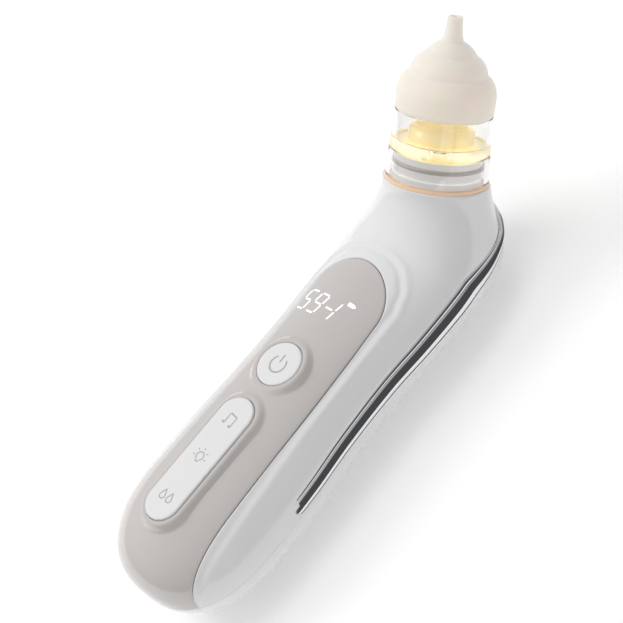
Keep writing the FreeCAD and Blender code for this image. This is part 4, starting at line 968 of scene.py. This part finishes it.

# ------------------------------------------------------------------ silicone tip
# Soft food-grade silicone, moulded in one milky piece: a sleeve over the cup's lip, three stepped
# bulges and a thin tube. It is round in section, about 1.3 mm thick. Its glow is painted light:
# emission, warm orange at its lower edge and greyer towards the top, stands in for the ring light
# shining through it.
bm = bmesh.new()
TIP_PROFILE = [(13.25, 21.1), (14.35, 21.1), (14.5, 21.3), (14.62, 24.0), (14.6, 26.5)]
TIP_PROFILE += bulge((14.6, 26.5), (11.4, 32.3), 7.0) + bulge((11.4, 32.3), (7.6, 37.7), 6.4)
TIP_PROFILE += bulge((7.6, 37.7), (3.2, 41.5), 8.0) + bulge((3.2, 41.5), (2.24, 48.45), 30.0, inward=True)
TIP_PROFILE += [(2.1, 48.6), (1.35, 48.6), (1.25, 48.45)]
TIP_PROFILE += [(1.9, 40.85), (6.3, 37.05), (10.1, 31.65), (13.25, 26.5)]
turned(bm, TIP_PROFILE)
tip = finished(bm, "silicone_bulb", "tip", "silicone_tip", "silicone_tip", sharp=math.radians(60))
silicone = moulded("milky_silicone", (0.96, 0.89, 0.82), 0.38, shading=0.03, polish=0.08,
                   grain=1200.0, peel=0.012, Subsurface_Weight=0.55, Subsurface_Scale=0.004,
                   Transmission_Weight=0.25, IOR=1.41, Emission_Strength=0.10)
nodes, links = silicone.node_tree.nodes, silicone.node_tree.links
# Painted glow: the emission colour follows height above the collar, warm orange low down and greyer at the
# top.
painted_glow_ramp = nodes.new("ShaderNodeValToRGB")
painted_glow_ramp.color_ramp.elements[0].position, painted_glow_ramp.color_ramp.elements[0].color = 0.0, (1.0, 0.81, 0.57, 1)
painted_glow_ramp.color_ramp.elements[1].position, painted_glow_ramp.color_ramp.elements[1].color = 1.0, (0.80, 0.82, 0.79, 1)
painted_glow_middle = painted_glow_ramp.color_ramp.elements.new(0.35)
painted_glow_middle.color = (0.93, 0.73, 0.58, 1)
painted_glow_height = nodes.new("ShaderNodeMapRange")
painted_glow_height.inputs["From Min"].default_value, painted_glow_height.inputs["From Max"].default_value = 0.0205, 0.036
links.new(nozzle_height(nodes, links), painted_glow_height.inputs["Value"])
links.new(painted_glow_height.outputs["Result"], painted_glow_ramp.inputs["Fac"])
links.new(painted_glow_ramp.outputs["Color"], nodes["Principled BSDF"].inputs["Emission Color"])
tip.data.materials.append(silicone)

# ------------------------------------------------------------------ pieces left as they were cut
# Everything inside the housing and under the cup keeps its own shape and only gets its finish:
# metals, rubbers, board laminate, felt, nylon and the plastics of the pump. The spigot and the cup's
# seal ring also get painted glow.
FINISHES = {
    "housing_screws board_screws": (
        "zinc_plated_steel", (0.62, 0.63, 0.65), 0.28,
        {"Metallic": 1.0, "shading": 0.15}),
    "motor_shaft": ("ground_steel", (0.66, 0.66, 0.68), 0.18, {"Metallic": 1.0, "shading": 0.1}),
    "pump_motor": ("nickelled_steel_can", (0.55, 0.56, 0.57), 0.24, {"Metallic": 1.0, "shading": 0.12}),
    "battery_tabs": ("nickel_strip", (0.68, 0.66, 0.62), 0.3, {"Metallic": 1.0, "shading": 0.12}),
    "eccentric": ("turned_brass", (0.72, 0.54, 0.27), 0.25, {"Metallic": 1.0, "shading": 0.14}),
    "charge_inlet": ("bright_inlet_steel", (0.70, 0.70, 0.71), 0.2, {"Metallic": 1.0, "shading": 0.1}),
    "main_board inlet_board": (
        "green_laminate", (0.03, 0.17, 0.08), 0.4,
        {"shading": 0.3, "peel": 0.03}),
    "light_board": ("white_laminate", (0.80, 0.80, 0.78), 0.45, {"shading": 0.08, "peel": 0.02}),
    "tact_switches speaker pump_frame": (
        "black_nylon", (0.02, 0.02, 0.022), 0.5,
        {"shading": 0.3, "peel": 0.05}),
    "power_switch_plunger mode_switch_plungers": (
        "black_acetal", (0.03, 0.03, 0.03), 0.35,
        {"shading": 0.2}),
    "display_module": ("display_white", (0.75, 0.75, 0.74), 0.35, {"shading": 0.06}),
    "battery_cell": ("blue_shrink_wrap", (0.03, 0.10, 0.32), 0.3, {"shading": 0.2, "Coat_Weight": 0.4}),
    "battery_cradle motor_bracket": (
        "grey_abs", (0.30, 0.31, 0.32), 0.5,
        {"shading": 0.1, "peel": 0.05}),
    "pump_yoke pump_valve_plate pump_cover": (
        "natural_nylon", (0.72, 0.70, 0.64), 0.42,
        {"shading": 0.08}),
    "motor_sleeve pump_diaphragm pump_valve_flaps": (
        "grey_rubber", (0.10, 0.10, 0.105), 0.62,
        {"shading": 0.2, "peel": 0.08}),
    "suction_hose exhaust_hose": (
        "hose_silicone", (0.78, 0.79, 0.80), 0.3,
        {"Transmission_Weight": 0.4}),
    "exhaust_muffler": (
        "grey_felt", (0.24, 0.24, 0.25), 0.95,
        {"shading": 0.5, "grain": 3200.0, "peel": 0.4}),
    "mode_key_pad port_gasket spigot_o_ring": (
        "white_silicone", (0.80, 0.79, 0.77), 0.5,
        {"Subsurface_Weight": 0.2, "Subsurface_Scale": 0.002}),
    # Painted glow: the seal ring's warm emission stands in for the ring light shining on it.
    "cup_seal_ring": (
        "peach_silicone_painted_glow", (0.86, 0.62, 0.42), 0.42,
        {"Subsurface_Weight": 0.3, "Subsurface_Scale": 0.002, "Emission_Strength": 0.12}),
    # Painted light: the spigot's white emission stands in for the light that reaches it through the clear
    # cup.
    "suction_spigot": (
        "spigot_white_abs_painted_glow", (0.80, 0.79, 0.77), 0.28,
        {"shading": 0.05, "Coat_Weight": 0.2, "Emission_Strength": 0.28}),
    "light_ring": ("lit_diffuser", (1.0, 0.90, 0.66), 0.4, {"Emission_Strength": 0.9}),
    "light_leds": ("warm_leds", (1.0, 0.86, 0.55), 0.4, {"Emission_Strength": 1.5}),
}
# Emission colours: the light ring and the LEDs are lamps; on the spigot and the seal ring the glow is painted
# light.
LAMP_AND_PAINTED_GLOWS = {
    "suction_spigot": (1.0, 0.98, 0.96, 1), "cup_seal_ring": (1.0, 0.62, 0.34, 1),
    "light_ring": (1.0, 0.80, 0.42, 1), "light_leds": (1.0, 0.78, 0.40, 1),
}
for names, (title, colour, roughness, extra) in FINISHES.items():
    finish = moulded(title, colour, roughness, **extra)
    for name in names.split():
        if name in LAMP_AND_PAINTED_GLOWS:
            finish.node_tree.nodes["Principled BSDF"].inputs["Emission Color"].default_value = LAMP_AND_PAINTED_GLOWS[name]
        for place_in_list in range(len(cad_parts[name].data.materials)):
            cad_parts[name].data.materials[place_in_list] = finish

# ------------------------------------------------------------------ floor, light and camera
# A plain pale floor, a big soft key light over the far side, one light from above and a fill on
# the near side. The surroundings darken low on the near side, and the chrome mirrors that.
bm = bmesh.new()
bmesh.ops.create_grid(bm, x_segments=40, y_segments=40, size=6.0)
mesh = bpy.data.meshes.new("floor")
bm.to_mesh(mesh)
bm.free()
floor = bpy.data.objects.new("floor", mesh)
bpy.context.scene.collection.objects.link(floor)
floor_white = moulded("matt_white_floor", (0.93, 0.93, 0.93), 0.85, shading=0.01, polish=0.02, peel=0.001,
                      Emission_Strength=0.22)
floor_white.node_tree.nodes["Principled BSDF"].inputs["Emission Color"].default_value = (1, 1, 1, 1)
mesh.materials.append(floor_white)


def area_light(name, at, aim, size, power, colour=(1, 1, 1)):
    lamp = bpy.data.lights.new(name, "AREA")
    lamp.shape, lamp.size, lamp.energy, lamp.color = "DISK", size, power, colour
    light = bpy.data.objects.new(name, lamp)
    light.location = at
    light.rotation_euler = (Vector(aim) - Vector(at)).to_track_quat("-Z", "Y").to_euler()
    light.visible_glossy = False
    bpy.context.scene.collection.objects.link(light)
    return light


middle = (0.02, 0.0, 0.02)
area_light("key", (-0.35, 0.75, 0.95), middle, 0.7, 4.5)
area_light("top", (0.12, 0.05, 1.1), middle, 0.6, 2.1)
area_light("fill", (-0.3, -0.8, 0.35), middle, 0.5, 1.2)

world = bpy.data.worlds.new("studio")
bpy.context.scene.world = world
world.use_nodes = True
nodes, links = world.node_tree.nodes, world.node_tree.links
where = nodes.new("ShaderNodeTexCoord")
facing = nodes.new("ShaderNodeVectorMath")
facing.operation = "DOT_PRODUCT"
facing.inputs[1].default_value = (0.0, 0.45, 0.65)
links.new(where.outputs["Generated"], facing.inputs[0])
sky = nodes.new("ShaderNodeValToRGB")
sky.color_ramp.elements[0].position, sky.color_ramp.elements[0].color = 0.0, (0.10, 0.10, 0.105, 1)
sky.color_ramp.elements[1].position, sky.color_ramp.elements[1].color = 0.55, (0.95, 0.95, 0.95, 1)
links.new(facing.outputs["Value"], sky.inputs["Fac"])
links.new(sky.outputs["Color"], nodes["Background"].inputs["Color"])
nodes["Background"].inputs["Strength"].default_value = 0.75

lens = bpy.data.cameras.new("camera")
lens.lens, lens.sensor_width = 85.0, 36.0
lens.clip_start, lens.clip_end = 0.01, 50.0
camera = bpy.data.objects.new("camera", lens)
camera.location = (-0.057885, -0.285225, 0.341974)
camera.rotation_euler = [math.radians(turn) for turn in (37.93787, 25.67077, -45.68769)]
bpy.context.scene.collection.objects.link(camera)
bpy.context.scene.camera = camera
bpy.context.scene.view_settings.view_transform = "Standard"
